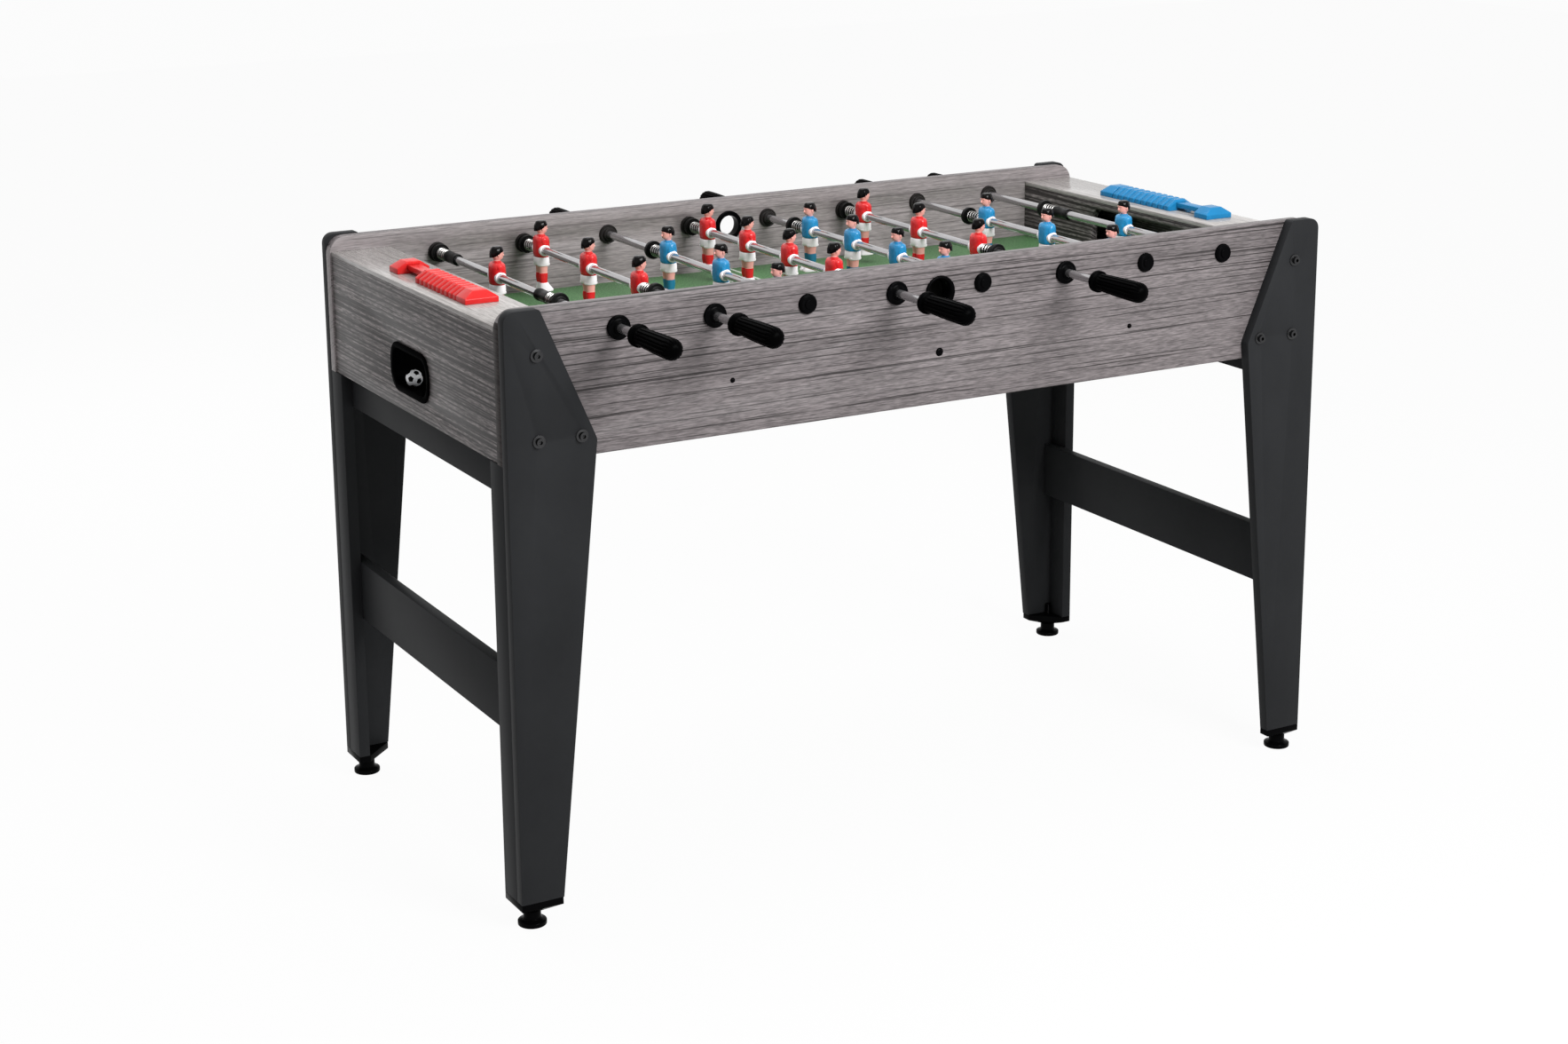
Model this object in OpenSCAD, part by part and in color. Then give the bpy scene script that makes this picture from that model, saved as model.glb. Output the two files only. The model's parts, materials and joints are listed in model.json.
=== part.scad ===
// Foosball table: laminate cabinet on four corner legs, eight player rods,
// abacus scorers on the end ledges and ball returns under them.
// Origin: centre of the table on the floor. +X along the length, -Y is the
// red team's side, +Z up.

/* [Overall] */
// Length over the leg boards
table_l = 1210; // [1150:1:1500]
// Width over the leg boards
table_w = 612; // [560:1:760]
// Height from the floor to the tops of the legs
table_h = 770; // [640:1:950]

/* [Cabinet] */
// Height of the side panels
cabinet_depth = 185; // [175:1:225]
// Thickness of the side and end panels
panel_t = 15; // [12:0.5:20]
// Radius of the side panels' top corners
panel_corner_r = 24; // [8:1:30]
// How far the end panels sit back from the ends of the side panels
end_recess = 2; // [1.5:0.5:4]
// Gap at the joints between boards
joint_gap = 0.4; // [0.2:0.1:0.8]
// Width of the ledge at each end
ledge_w = 85; // [70:1:110]
// Thickness of the ledges
ledge_t = 6; // [4:0.5:12]
// Ledge top below the cabinet's top edge
ledge_drop = 20; // [12:1:30]
// Thickness of the goal walls
goal_wall_t = 12; // [9:0.5:18]
// Width of the goals
goal_w = 205; // [140:1:230]
// Wood left above the goals, under the ledge
goal_header = 10; // [6:1:20]
// Radius of the goals' top corners
goal_r = 20; // [5:1:25]

/* [Playfield] */
// Field surface below the cabinet's top edge
field_drop = 104; // [98:1:120]
// Thickness of the field board
field_t = 5; // [3:0.5:9]
// Side of the square rails under the field's long edges
rail_s = 20; // [15:1:30]
// Width of the battens across the underside
batten_w = 45; // [30:1:70]
// Thickness of the battens
batten_t = 18; // [12:1:22]
// Distance from the middle batten to the outer ones
batten_pitch = 299; // [200:1:400]

/* [Rods] */
// Rod axis below the cabinet's top edge
rod_drop = 34.5; // [30:0.5:40]
// Outside diameter of the tubes
rod_d = 11; // [9:0.5:13]
// Diameter of the fixed inner rods
inner_rod_d = 7.2; // [5:0.1:8]
// Distance from the end rods to the goal walls
goalie_gap = 68.5; // [63:0.5:80]
// How far a tube reaches past the inner face of its far panel when pushed home
tube_overrun = 5; // [3:1:7]
// Inner rod left inside the tube when the rod is pulled out
inner_overlap = 60; // [30:1:90]

/* [Bearings] */
// Diameter of the panel holes
bearing_hole_d = 18; // [16:0.5:20]
// Diameter of the inside flanges
bearing_in_d = 27; // [24:1:32]
// Diameter of the outside flanges on the handle side
bearing_out_d = 30; // [24:1:34]
// Diameter of the caps on the far side
cap_d = 25.5; // [22:0.5:30]
// How far bearings stand out from the panel faces
bearing_proj = 8; // [6:0.5:11]

/* [Handles] */
// Length of a handle
handle_l = 100; // [80:1:130]
// Diameter of the grip
grip_d = 26.5; // [22:0.5:32]
// Diameter of the flange next to the table
handle_flange_d = 28; // [25:1:36]
// How far the tube goes into the handle
handle_socket = 70; // [40:1:75]

/* [Players] */
// Spacing of the players on the rods of three
trio_pitch = 152; // [130:1:156]
// Spacing of the players on the rods of four
quartet_pitch = 118; // [100:1:120]
// Top of the head above the rod axis
man_up = 40; // [34:1:42]
// Sole of the shoes below the rod axis
man_down = 58; // [50:1:59]
// Width across the shoulders
man_w = 29; // [24:1:32]

/* [Bumpers] */
// Diameter of the bumper discs
bumper_d = 25; // [20:1:26]
// Thickness of the bumper discs
bumper_t = 8; // [5:0.5:10]
// Outside diameter of the springs
spring_d = 16; // [14:0.5:20]
// Wire of the springs
spring_wire = 1.8; // [1.2:0.1:2.2]
// Length of the springs on the field rods
spring_l = 27; // [18:1:32]
// Length of the springs on the goalkeeper rods
goalie_spring_l = 24; // [18:1:30]
// Length of the sleeves on the goalkeeper rods
sleeve_l = 34; // [20:1:50]
// Distance from the goalkeeper to his sleeves
sleeve_start = 132; // [100:1:134]

/* [Ball return and serve] */
// Ball diameter
ball_d = 22; // [18:1:25]
// Width of the return cups' flanges
cup_w = 129; // [100:1:150]
// Height of the return cups' flanges
cup_h = 64; // [56:1:70]
// Centre of the return cups above the cabinet's bottom edge
cup_up = 55.5; // [48:0.5:60]
// Corner radius of the return cups
cup_r = 26; // [14:1:30]
// Wall of the return cups
cup_wall = 2; // [1.5:0.5:3]
// Height of the lip that keeps the ball in the cup
cup_lip = 4; // [2:0.5:6]
// How far the cups reach in from the outside
cup_reach = 62; // [50:1:63]
// Height of the serve cups below the cabinet's top edge
serve_drop = 40.5; // [36:0.5:48]
// Bore of the serve cups
serve_bore_d = 30; // [26:0.5:33]
// Diameter of the serve cups' flanges
serve_flange_d = 43; // [41:0.5:46]

/* [Scorers] */
// Length of one counting block
block_l = 13.7; // [10:0.1:16]
// Width of the blocks across the ledge
block_w = 44; // [34:1:50]
// Height of the blocks
block_h = 15.5; // [13:0.5:22]
// Distance that the blocks slide
block_travel = 58; // [40:1:80]
// Length of the brackets at the ends of the rail
bracket_l = 29; // [20:1:34]
// Width of the rail
score_rail_w = 16; // [8:0.5:20]
// Height of the rail
score_rail_h = 7; // [5:0.5:8]
// Middle of the scorers along Y
scorer_y = -18; // [-40:1:40]

/* [Legs] */
// Thickness of the leg boards
leg_t = 15; // [12:0.5:20]
// How far the legs stand above the cabinet's top edge
leg_proud = 1.5; // [0:0.5:4]
// Width of a wide board at its top
leg_top_w = 46; // [40:1:70]
// Width of a wide board at its widest
leg_max_w = 116; // [104:1:140]
// Widest point above the cabinet's bottom edge
leg_max_up = 23; // [15:1:40]
// Width of a wide board at its foot
leg_foot_w = 56; // [50:1:80]
// Width over both boards, seen from the end
leg_end_w = 52; // [45:1:70]
// Bottom of the boards above the floor
leg_clear = 35; // [32:1:50]
// Height of the upper end rails
upper_rail_h = 46; // [30:1:60]
// Height of the lower stretchers
stretcher_h = 82; // [50:1:110]
// Bottom of the stretchers above the floor
stretcher_z = 236; // [120:1:320]

/* [Feet] */
// Diameter of the levelling feet
foot_d = 36; // [28:1:38]
// Thickness of the foot discs
foot_t = 8; // [5:0.5:10]
// Diameter of the foot necks
foot_neck_d = 22; // [16:1:24]
// Foot centre in from the inner face of a leg's end board
foot_in_x = 6; // [5.5:0.5:9]
// Foot centre in from the inner face of a leg's wide board
foot_in_y = 5; // [5:0.5:9]
// Diameter of the threaded stems
stem_d = 8; // [6:1:9]
// Length of the stems above the corner caps
stem_above = 16; // [14:1:30]
// Depth of the corner caps
cap_depth = 15; // [14:0.5:18]

/* [Fasteners] */
// Diameter of the leg bolts
bolt_d = 6; // [5:1:8]
// Diameter of the bolt washers
washer_d = 16; // [12:1:20]
// Thickness of the washers
washer_t = 1.5; // [1:0.5:2]
// Upper bolt in from the end
bolt_top_x = 40.5; // [36:0.5:50]
// Upper bolt below the cabinet's top edge
bolt_top_drop = 53; // [45:1:65]
// Lower bolts below the cabinet's top edge
bolt_low_drop = 156; // [130:1:160]
// Outer lower bolt in from the end
bolt_low_x = 96; // [80:0.5:100]
// Shank of the panel screws
screw_d = 4; // [3:0.5:5]
// Length of the panel screws under the head
screw_l = 45; // [30:1:60]
// Head of the middle panel screw
screw_cap_mid_d = 11; // [8:0.5:14]
// Heads of the outer panel screws
screw_cap_d = 6.5; // [5:0.5:10]

/* [Hidden] */
$fn = 48;
rods = [1:8];
// Per rod, from the left: players, team (-1 red, 1 blue), and pull from fully pushed in
players = [1, 3, 3, 4, 4, 3, 3, 1];
team = [-1, -1, 1, -1, 1, -1, 1, 1];
pull = [0, 0, 0, 0, 14, 0, 0, 0];
// Handle standing off its bearing by role: keeper, defence, midfield, attack
stand_off = [44, 50, 61, 61, 61, 61, 50, 44];

run_fit = 0.1;          // radial clearance of a shaft in its bore
gap = 0.3;              // clearance between parts that move past each other
cut = 1;                // overshoot of cutting shapes

half_l = table_l / 2;
half_w = table_w / 2;
cab_top = table_h - leg_proud;
cab_bot = cab_top - cabinet_depth;
side_out = half_w - leg_t;
side_in = side_out - panel_t;
end_out = half_l - end_recess;
end_in = end_out - panel_t;
goal_x = half_l - ledge_w;
goal_back = goal_x + goal_wall_t;
ledge_z = cab_top - ledge_drop;
ledge_under = ledge_z - ledge_t;
field_z = cab_top - field_drop;
field_under = field_z - field_t;
inner_w = 2 * (side_in - joint_gap);
rod_z = cab_top - rod_drop;
serve_z = cab_top - serve_drop;
cup_z = cab_bot + cup_up;
rod_pitch = 2 * (goal_x - goalie_gap) / 7;
batten_z = field_under - batten_t / 2;
screw_len_in = screw_l - panel_t;

spring_r = (spring_d - spring_wire) / 2;
hub_half = man_w / 2;   // half the length of a player's hub along the rod
bumper_face = side_in - bearing_proj - gap;   // a bumper's outer face when pushed home
block_count = 10;
rail_seat = 10;         // how far the scorer rails reach into their brackets
scorer_l = 2 * bracket_l + block_count * block_l + block_travel;
scorer_x = half_l - ledge_w / 2;
cup_floor_z = cup_z - cup_h / 2 + 2 * cup_wall;
cup_hole_w = cup_w - 2 * cup_wall;
cup_hole_h = cup_h - 2 * cup_wall;
cup_inner = half_l - cup_reach;
foot_x = leg_t + foot_in_x;
foot_y = leg_t + foot_in_y;

function rod_x(i) = (i - 4.5) * rod_pitch;
function men_y(i) = let (n = players[i - 1], p = n == 4 ? quartet_pitch : trio_pitch)
    [for (j = [0:n - 1]) (j - (n - 1) / 2) * p];
function is_goalie(i) = players[i - 1] == 1;
// Inner end of the bumper set, from the middle of the rod
function bumper_start(i) = is_goalie(i) ? sleeve_start : max(men_y(i)) + hub_half + gap;
function bumper_l(i) = bumper_t + (is_goalie(i) ? sleeve_l + goalie_spring_l : spring_l);
// Half of the rod's travel
function reach(i) = bumper_face - bumper_start(i) - bumper_l(i);
// Middle of the rod now, measured towards the far panel
function rod_mid(i) = reach(i) - pull[i - 1];
// Tube ends, measured from the middle of the rod towards the far panel
function tube_far(i) = side_in + tube_overrun - reach(i);
function handle_near(i) = -(side_out + bearing_proj + stand_off[i - 1] + reach(i));

laminate = "#8a8280";
charcoal = "#3a3b3d";
black = "#151515";
steel = "#c4c6c8";
red = "#d8262b";
blue = "#2a86c4";

// ---- helpers -------------------------------------------------------------

// Block given by its lowest corner and highest corner
module block(lo, hi) {
    translate(lo) cube(hi - lo);
}

// Rectangle centred on the origin with round corners
module round_rect(w, h, r) {
    square([w, h - 2 * r], center = true);
    square([w - 2 * r, h], center = true);
    for (x = [-1, 1], y = [-1, 1])
        translate([x * (w / 2 - r), y * (h / 2 - r)]) circle(r);
}

// Corner of an outline replaced by an arc of radius r between its neighbours
function round_corner(before, at, after, r, steps = 8) =
    let (u = (before - at) / norm(before - at), v = (after - at) / norm(after - at),
         half = acos(u * v) / 2, mid = (u + v) / norm(u + v),
         centre = at + mid * r / sin(half),
         from = at + u * r / tan(half) - centre, to = at + v * r / tan(half) - centre,
         a0 = atan2(from.y, from.x), turn = atan2(to.y, to.x) - a0,
         sweep = turn > 180 ? turn - 360 : turn < -180 ? turn + 360 : turn)
    [for (k = [0:steps]) centre + r * [cos(a0 + sweep * k / steps), sin(a0 + sweep * k / steps)]];

// Repeats its children at the four corners of the table, mirrored so that
// they are drawn once with the corner at the origin, +X and +Y inwards
module at_corner(x, y) {
    translate([x * half_l, y * half_w, 0])
        mirror([x > 0 ? 1 : 0, 0, 0]) mirror([0, y > 0 ? 1 : 0, 0]) children();
}

// Turns a shape whose axis is +Z to point from the middle of the table towards
// the far panel of rod i, with z = 0 at the table's centre plane
module along_rod(i) {
    translate([rod_x(i), 0, rod_z]) rotate([team[i - 1] * 90, 0, 0]) children();
}

// ---- cabinet -------------------------------------------------------------

// Outline of a long side panel in the XZ plane
module side_outline() {
    translate([-half_l, cab_bot]) square([table_l, cabinet_depth - panel_corner_r]);
    translate([-half_l + panel_corner_r, cab_bot])
        square([table_l - 2 * panel_corner_r, cabinet_depth]);
    for (x = [-1, 1])
        translate([x * (half_l - panel_corner_r), cab_top - panel_corner_r])
            circle(panel_corner_r);
}

// Bolt positions on one leg, as distance in from the end and height
function leg_bolt_places() = [
    [bolt_top_x, cab_top - bolt_top_drop],
    [bolt_top_x, cab_top - bolt_low_drop],
    [bolt_low_x, cab_top - bolt_low_drop]];

module side_panel(side) {
    color(laminate)
    translate([0, side * (side_in + panel_t / 2), 0]) rotate([90, 0, 0])
    linear_extrude(panel_t, center = true)
    difference() {
        side_outline();
        for (i = rods) translate([rod_x(i), rod_z]) circle(d = bearing_hole_d + 2 * run_fit);
        translate([0, serve_z]) circle(d = serve_bore_d + 5);
        for (x = [-1:1]) translate([x * batten_pitch, batten_z])
            circle(d = screw_d + 2 * run_fit);
        for (x = [-1, 1], p = leg_bolt_places())
            translate([x * (half_l - p.x), p.y]) circle(d = bolt_d + 2 * run_fit);
    }
}

module end_panels() {
    color(laminate)
    for (side = [-1, 1])
    difference() {
        block([min(side * end_in, side * end_out), -inner_w / 2, cab_bot],
              [max(side * end_in, side * end_out), inner_w / 2, ledge_under]);
        translate([side * end_in - side * cut, 0, cup_z]) rotate([90, 0, side * 90])
            linear_extrude(panel_t + 2 * cut)
                round_rect(cup_hole_w + 2 * run_fit, cup_hole_h + 2 * run_fit,
                           cup_r - cup_wall + run_fit);
    }
}

module goal_walls() {
    goal_h = ledge_under - goal_header - field_z;
    color(laminate)
    for (side = [-1, 1])
        translate([side * goal_x, 0, 0]) rotate([90, 0, side * 90])
        linear_extrude(goal_wall_t)
        difference() {
            translate([-inner_w / 2, cab_bot + rail_s])
                square([inner_w, ledge_under - cab_bot - rail_s]);
            translate([-goal_w / 2, field_z]) square([goal_w, goal_h - goal_r]);
            translate([-goal_w / 2 + goal_r, field_z]) square([goal_w - 2 * goal_r, goal_h]);
            for (y = [-1, 1])
                translate([y * (goal_w / 2 - goal_r), field_z + goal_h - goal_r])
                    circle(goal_r);
        }
}

module ledges() {
    color("#a8a6a4")
    for (side = [-1, 1])
        block([min(side * goal_x, side * end_out), -inner_w / 2, ledge_under],
              [max(side * goal_x, side * end_out), inner_w / 2, ledge_z]);
}

module playfield() {
    color("#3c7a4c")
    block([-goal_x, -inner_w / 2, field_under], [goal_x, inner_w / 2, field_z]);
}

// Rails and battens under the field, and the ramps that lead a ball from
// behind each goal down to the return cup
module field_supports() {
    ramp_t = 6;
    ramp_rise = 26;
    ramp_low = cup_z + 2;
    ramp_in = cup_w / 2 + 3;
    batten_end = side_in - rail_s - joint_gap;
    color("#b29a78")
    difference() {
        union() {
            for (y = [-1, 1])
                block([-goal_x, min(y * side_in, y * (side_in - rail_s)), field_under - rail_s],
                      [goal_x, max(y * side_in, y * (side_in - rail_s)), field_under]);
            for (x = [-1:1])
                block([x * batten_pitch - batten_w / 2, -batten_end, field_under - batten_t],
                      [x * batten_pitch + batten_w / 2, batten_end, field_under]);
        }
        for (x = [-1:1], y = [-1, 1])
            translate([x * batten_pitch, y * side_in, batten_z]) rotate([y * 90, 0, 0])
                translate([0, 0, -cut]) cylinder(d = screw_d + 2 * run_fit, h = screw_len_in + 2 * cut);
    }
    color("#26282a")
    for (x = [-1, 1], y = [-1, 1])
        translate([x > 0 ? goal_back : -end_in, 0, 0]) rotate([90, 0, 90])
        linear_extrude(end_in - goal_back)
        polygon([[y * (side_in - joint_gap), ramp_low + ramp_rise],
                 [y * (side_in - joint_gap), ramp_low + ramp_rise - ramp_t],
                 [y * ramp_in, ramp_low - ramp_t], [y * ramp_in, ramp_low]]);
}

// ---- ball return and serve -----------------------------------------------

// Plastic cup in each end panel: flange and lip outside, open at the top
// behind the panel so that a ball drops in
module return_cup() {
    flange_t = half_l - end_out;
    depth = cup_reach - flange_t;
    collar = panel_t + run_fit;
    module body() round_rect(cup_hole_w, cup_hole_h, cup_r - cup_wall);
    module cavity() round_rect(cup_w - 4 * cup_wall, cup_h - 4 * cup_wall, cup_r - 2 * cup_wall);
    module lower_half() translate([-cup_w / 2, -cup_h]) square([cup_w, cup_h + 1]);
    linear_extrude(flange_t)
        difference() {
            round_rect(cup_w, cup_h, cup_r);
            round_rect(cup_w - 4 * cup_wall - 2 * cup_lip, cup_h - 4 * cup_wall - 2 * cup_lip,
                       cup_r - 2 * cup_wall - cup_lip);
        }
    translate([0, 0, -collar]) linear_extrude(collar)
        difference() {
            body();
            cavity();
        }
    translate([0, 0, -depth + cup_wall]) linear_extrude(depth - cup_wall - collar)
        difference() {
            intersection() {
                body();
                lower_half();
            }
            cavity();
        }
    translate([0, 0, -depth]) linear_extrude(cup_wall)
        intersection() {
            body();
            lower_half();
        }
}

module return_cups() {
    color(black)
    for (side = [-1, 1])
        translate([side * end_out, 0, cup_z]) rotate([90, 0, side * 90]) return_cup();
}

// Hood inside the front serve cup: a ball pushed through the ring drops out
// of its open underside on to the field
module serve_hood() {
    outer = serve_bore_d / 2 + 2.4;
    inner = serve_bore_d / 2;
    straight = 10;
    drop = 24;
    module plan(r) {
        translate([-r, 0]) square([2 * r, straight]);
        translate([0, straight]) circle(r);
    }
    translate([0, -side_in, serve_z - drop])
    difference() {
        linear_extrude(drop + outer)
            intersection() {
                plan(outer);
                translate([-outer, 0]) square([2 * outer, straight + outer]);
            }
        translate([0, 0, -cut]) linear_extrude(drop + inner + cut)
            union() {
                plan(inner);
                translate([-inner, -cut]) square([2 * inner, straight]);
            }
    }
}

// Bell-mouthed ring through each side panel where a ball is served
module serve_cups() {
    flange_t = 3;
    mouth_d = serve_flange_d - 3;
    color(black) {
    serve_hood();
    for (side = [-1, 1])
        translate([0, side * side_in, serve_z]) rotate([-side * 90, 0, 0])
        rotate_extrude()
        polygon([[serve_bore_d / 2, -flange_t], [serve_flange_d / 2 - 1, -flange_t],
                 [serve_flange_d / 2, -flange_t + 1], [serve_flange_d / 2, 0],
                 [serve_bore_d / 2 + 2.4, 0], [serve_bore_d / 2 + 2.4, panel_t],
                 [serve_flange_d / 2, panel_t], [serve_flange_d / 2, panel_t + flange_t - 1],
                 [serve_flange_d / 2 - 1, panel_t + flange_t], [mouth_d / 2, panel_t + flange_t],
                 [serve_bore_d / 2, panel_t - 1]]);
    }
}

module ball() {
    contact_in = sqrt(pow(ball_d / 2, 2) - pow(ball_d / 2 - cup_lip, 2));
    color("#f4f4f2")
    translate([-end_out + contact_in + 8.5, 32, cup_floor_z + ball_d / 2 + gap])
        sphere(d = ball_d);
}

// ---- rods ----------------------------------------------------------------

// Chrome tube of rod i, bored for the inner rod
module rod(i) {
    near = handle_near(i) - handle_socket;
    color(steel)
    along_rod(i) translate([0, 0, rod_mid(i) + near])
    difference() {
        cylinder(d = rod_d, h = tube_far(i) - near);
        translate([0, 0, -cut])
            cylinder(d = inner_rod_d + 2 * run_fit, h = tube_far(i) - near + 2 * cut);
    }
}

// Fixed rods that the tubes slide over, held in the far caps
module inner_rods() {
    color(steel)
    for (i = rods) {
        tip = side_in + tube_overrun - 2 * reach(i) - inner_overlap;
        along_rod(i) translate([0, 0, tip])
            cylinder(d = inner_rod_d, h = side_out - tip);
    }
}

// Bearings on the handle side and closed caps on the far side
module rod_bearings() {
    hub_r = rod_d / 2 + 3.5;
    bore_r = rod_d / 2 + run_fit;
    lip = 4;                            // thickness of the flanges
    color(black)
    for (i = rods) {
        along_rod(i) mirror([0, 0, 1]) translate([0, 0, side_in]) rotate_extrude()
            polygon([[bore_r, -bearing_proj], [hub_r - 1, -bearing_proj], [hub_r, -lip - 1],
                     [bearing_in_d / 2 - 1.5, -lip], [bearing_in_d / 2, -lip + 1.5],
                     [bearing_in_d / 2, 0], [bearing_hole_d / 2, 0], [bearing_hole_d / 2, panel_t],
                     [bearing_out_d / 2, panel_t], [bearing_out_d / 2, panel_t + lip - 1.5],
                     [bearing_out_d / 2 - 1.5, panel_t + lip], [hub_r + 1, panel_t + lip + 0.5],
                     [hub_r - 1, panel_t + bearing_proj], [bore_r, panel_t + bearing_proj]]);
        along_rod(i) translate([0, 0, side_in]) rotate_extrude()
            polygon([[bore_r, -bearing_proj], [hub_r - 1, -bearing_proj], [hub_r, -lip - 1],
                     [bearing_in_d / 2 - 1.5, -lip], [bearing_in_d / 2, -lip + 1.5],
                     [bearing_in_d / 2, 0], [bearing_hole_d / 2, 0], [bearing_hole_d / 2, panel_t],
                     [cap_d / 2, panel_t], [cap_d / 2, panel_t + 2.5],
                     [cap_d / 2 - 2, panel_t + 4.8], [cap_d / 2 - 5, panel_t + 6.4],
                     [0, panel_t + 7.2], [0, panel_t],
                     [inner_rod_d / 2 + run_fit, panel_t],
                     [inner_rod_d / 2 + run_fit, tube_overrun + 2], [bore_r, tube_overrun + 2]]);
    }
}

// Fluted grip with a flange at the table end and a round tip
module handle(i) {
    flange_t = 7;
    neck_l = 5;
    grip_from = flange_t + neck_l;
    tip_r = grip_d / 2;
    flute_count = 16;
    color(black)
    along_rod(i) translate([0, 0, rod_mid(i) + handle_near(i)]) mirror([0, 0, 1])
    difference() {
        union() {
            rotate_extrude()
            polygon([[0, 0], [handle_flange_d / 2 - 1.5, 0], [handle_flange_d / 2, 1.5],
                     [handle_flange_d / 2, flange_t - 1.5], [handle_flange_d / 2 - 1.5, flange_t],
                     [grip_d / 2 - 2, grip_from], [0, grip_from]]);
            translate([0, 0, grip_from])
            linear_extrude(handle_l - tip_r - grip_from)
            difference() {
                circle(d = grip_d);
                for (k = [0:flute_count - 1])
                    rotate(k * 360 / flute_count) translate([grip_d / 2 + 0.5, 0]) circle(1.6);
            }
            translate([0, 0, handle_l - tip_r])
            rotate_extrude()
            intersection() {
                circle(r = tip_r - 0.6);
                square([tip_r, tip_r]);
            }
            translate([0, 0, handle_l - tip_r]) cylinder(r = tip_r - 0.6, h = 0.6);
        }
        translate([0, 0, -cut]) cylinder(d = rod_d + run_fit, h = handle_socket + cut + gap);
    }
}

// One player, facing +X, hanging from the rod axis at the origin
module player() {
    hub_d = rod_d + 9;
    body_t = 20;
    hem_z = -9;
    shorts_z = -22;
    shoe_z = -man_down + 9;
    head_d = 18;
    chest_top = man_up - head_d - 1;
    difference() {
        union() {
            rotate([90, 0, 0]) cylinder(d = hub_d, h = 2 * hub_half, center = true);
            translate([0, 0, hem_z]) linear_extrude(chest_top - hem_z)
                round_rect(body_t, man_w, 8);
            translate([0, 0, man_up - head_d / 2]) sphere(d = head_d);
            translate([0, 0, chest_top - 1]) cylinder(d = 9, h = 6);
            translate([0, 0, shorts_z]) linear_extrude(hem_z - shorts_z)
                round_rect(body_t - 3, man_w - 4, 6);
            translate([0, 0, shoe_z]) linear_extrude(shorts_z - shoe_z)
                round_rect(11, 16, 4);
            translate([3, 0, -man_down]) linear_extrude(9) round_rect(22, 21, 4);
        }
        rotate([90, 0, 0]) cylinder(d = rod_d + run_fit, h = man_w + 2 * cut, center = true);
    }
}

module men(i) {
    color(team[i - 1] < 0 ? red : blue)
    for (y = men_y(i))
        translate([rod_x(i), -team[i - 1] * rod_mid(i) + y, rod_z])
            rotate(team[i - 1] < 0 ? 0 : 180) player();
}

// Half of a spring's outline: a sleeve ribbed at every turn of the wire
module spring_profile(length) {
    turns = round((length - spring_wire) / (spring_wire * 1.9));
    core = spring_wire * 0.6;
    translate([spring_r - core / 2, 0]) square([core, length]);
    for (k = [0:turns])
        translate([spring_r, spring_wire / 2 + k * (length - spring_wire) / turns])
            circle(d = spring_wire, $fn = 16);
}

// Ring that slides with the rod but doesn't turn with it
module loose_ring(d, h) {
    difference() {
        cylinder(d = d, h = h);
        translate([0, 0, -cut]) cylinder(d = rod_d + 2 * gap, h = h + 2 * cut);
    }
}

module bumpers(i) {
    coil_l = is_goalie(i) ? goalie_spring_l : spring_l;
    sleeve = is_goalie(i) ? sleeve_l : 0;
    for (end = [0, 1])
        along_rod(i) translate([0, 0, rod_mid(i)]) mirror([0, 0, end])
        translate([0, 0, bumper_start(i)]) {
            if (sleeve > 0) color(black) loose_ring(spring_d, sleeve);
            color(steel) translate([0, 0, sleeve]) rotate_extrude() spring_profile(coil_l);
            color(black) translate([0, 0, sleeve + coil_l]) loose_ring(bumper_d, bumper_t);
        }
}

// ---- legs ----------------------------------------------------------------

// Wide board of a leg in the XZ plane, corner of the table at x = 0
function wide_outline() = let (
    top_out = [0, table_h], top_in = [leg_top_w, table_h],
    widest = [leg_max_w, cab_bot + leg_max_up],
    foot_in = [leg_foot_w, leg_clear], foot_out = [0, leg_clear])
    concat([foot_out, foot_in], round_corner(foot_in, widest, top_in, 12),
           round_corner(widest, top_in, top_out, 5), round_corner(top_in, top_out, foot_out, 14));

module leg(x, y) {
    color(charcoal)
    at_corner(x, y) {
        difference() {
            translate([0, leg_t, 0]) rotate([90, 0, 0]) linear_extrude(leg_t)
                polygon(wide_outline());
            for (p = leg_bolt_places())
                translate([p.x, -cut, p.y]) rotate([-90, 0, 0])
                    cylinder(d = bolt_d + 2 * run_fit, h = leg_t + 2 * cut);
        }
        block([0, leg_t + joint_gap, leg_clear], [leg_t, leg_end_w, cab_bot]);
    }
}

// Rail under each end of the cabinet and stretcher lower down, both fixed
// behind the legs' end boards
module end_rails() {
    color(charcoal)
    for (x = [-1, 1], z = [[cab_bot - upper_rail_h, cab_bot], [stretcher_z, stretcher_z + stretcher_h]])
        block([min(x * (half_l - leg_t), x * (half_l - 2 * leg_t)), -side_out, z[0]],
              [max(x * (half_l - leg_t), x * (half_l - 2 * leg_t)), side_out, z[1]]);
}

// Triangle that closes the bottom of a leg, shrunk by inset
module cap_outline(inset) {
    polygon([[inset, inset], [leg_foot_w - 2 * inset - 1, inset],
             [leg_foot_w - 2 * inset - 1, leg_t + 1 - inset],
             [leg_t + 1 - inset, leg_end_w - 2 * inset], [inset, leg_end_w - 2 * inset]]);
}

module corner_caps() {
    skirt = 9;
    color(black)
    for (x = [-1, 1], y = [-1, 1])
        at_corner(x, y)
        difference() {
            union() {
                translate([0, 0, leg_clear - skirt]) linear_extrude(skirt) cap_outline(0);
                hull() {
                    translate([0, 0, leg_clear - skirt]) linear_extrude(0.01) cap_outline(0);
                    translate([foot_x, foot_y, leg_clear - cap_depth])
                        cylinder(d = foot_neck_d + 3, h = 0.01, $fn = 32);
                }
            }
            translate([foot_x, foot_y, leg_clear - cap_depth - cut])
                cylinder(d = stem_d + 2 * run_fit, h = cap_depth + 2 * cut);
        }
}

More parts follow.
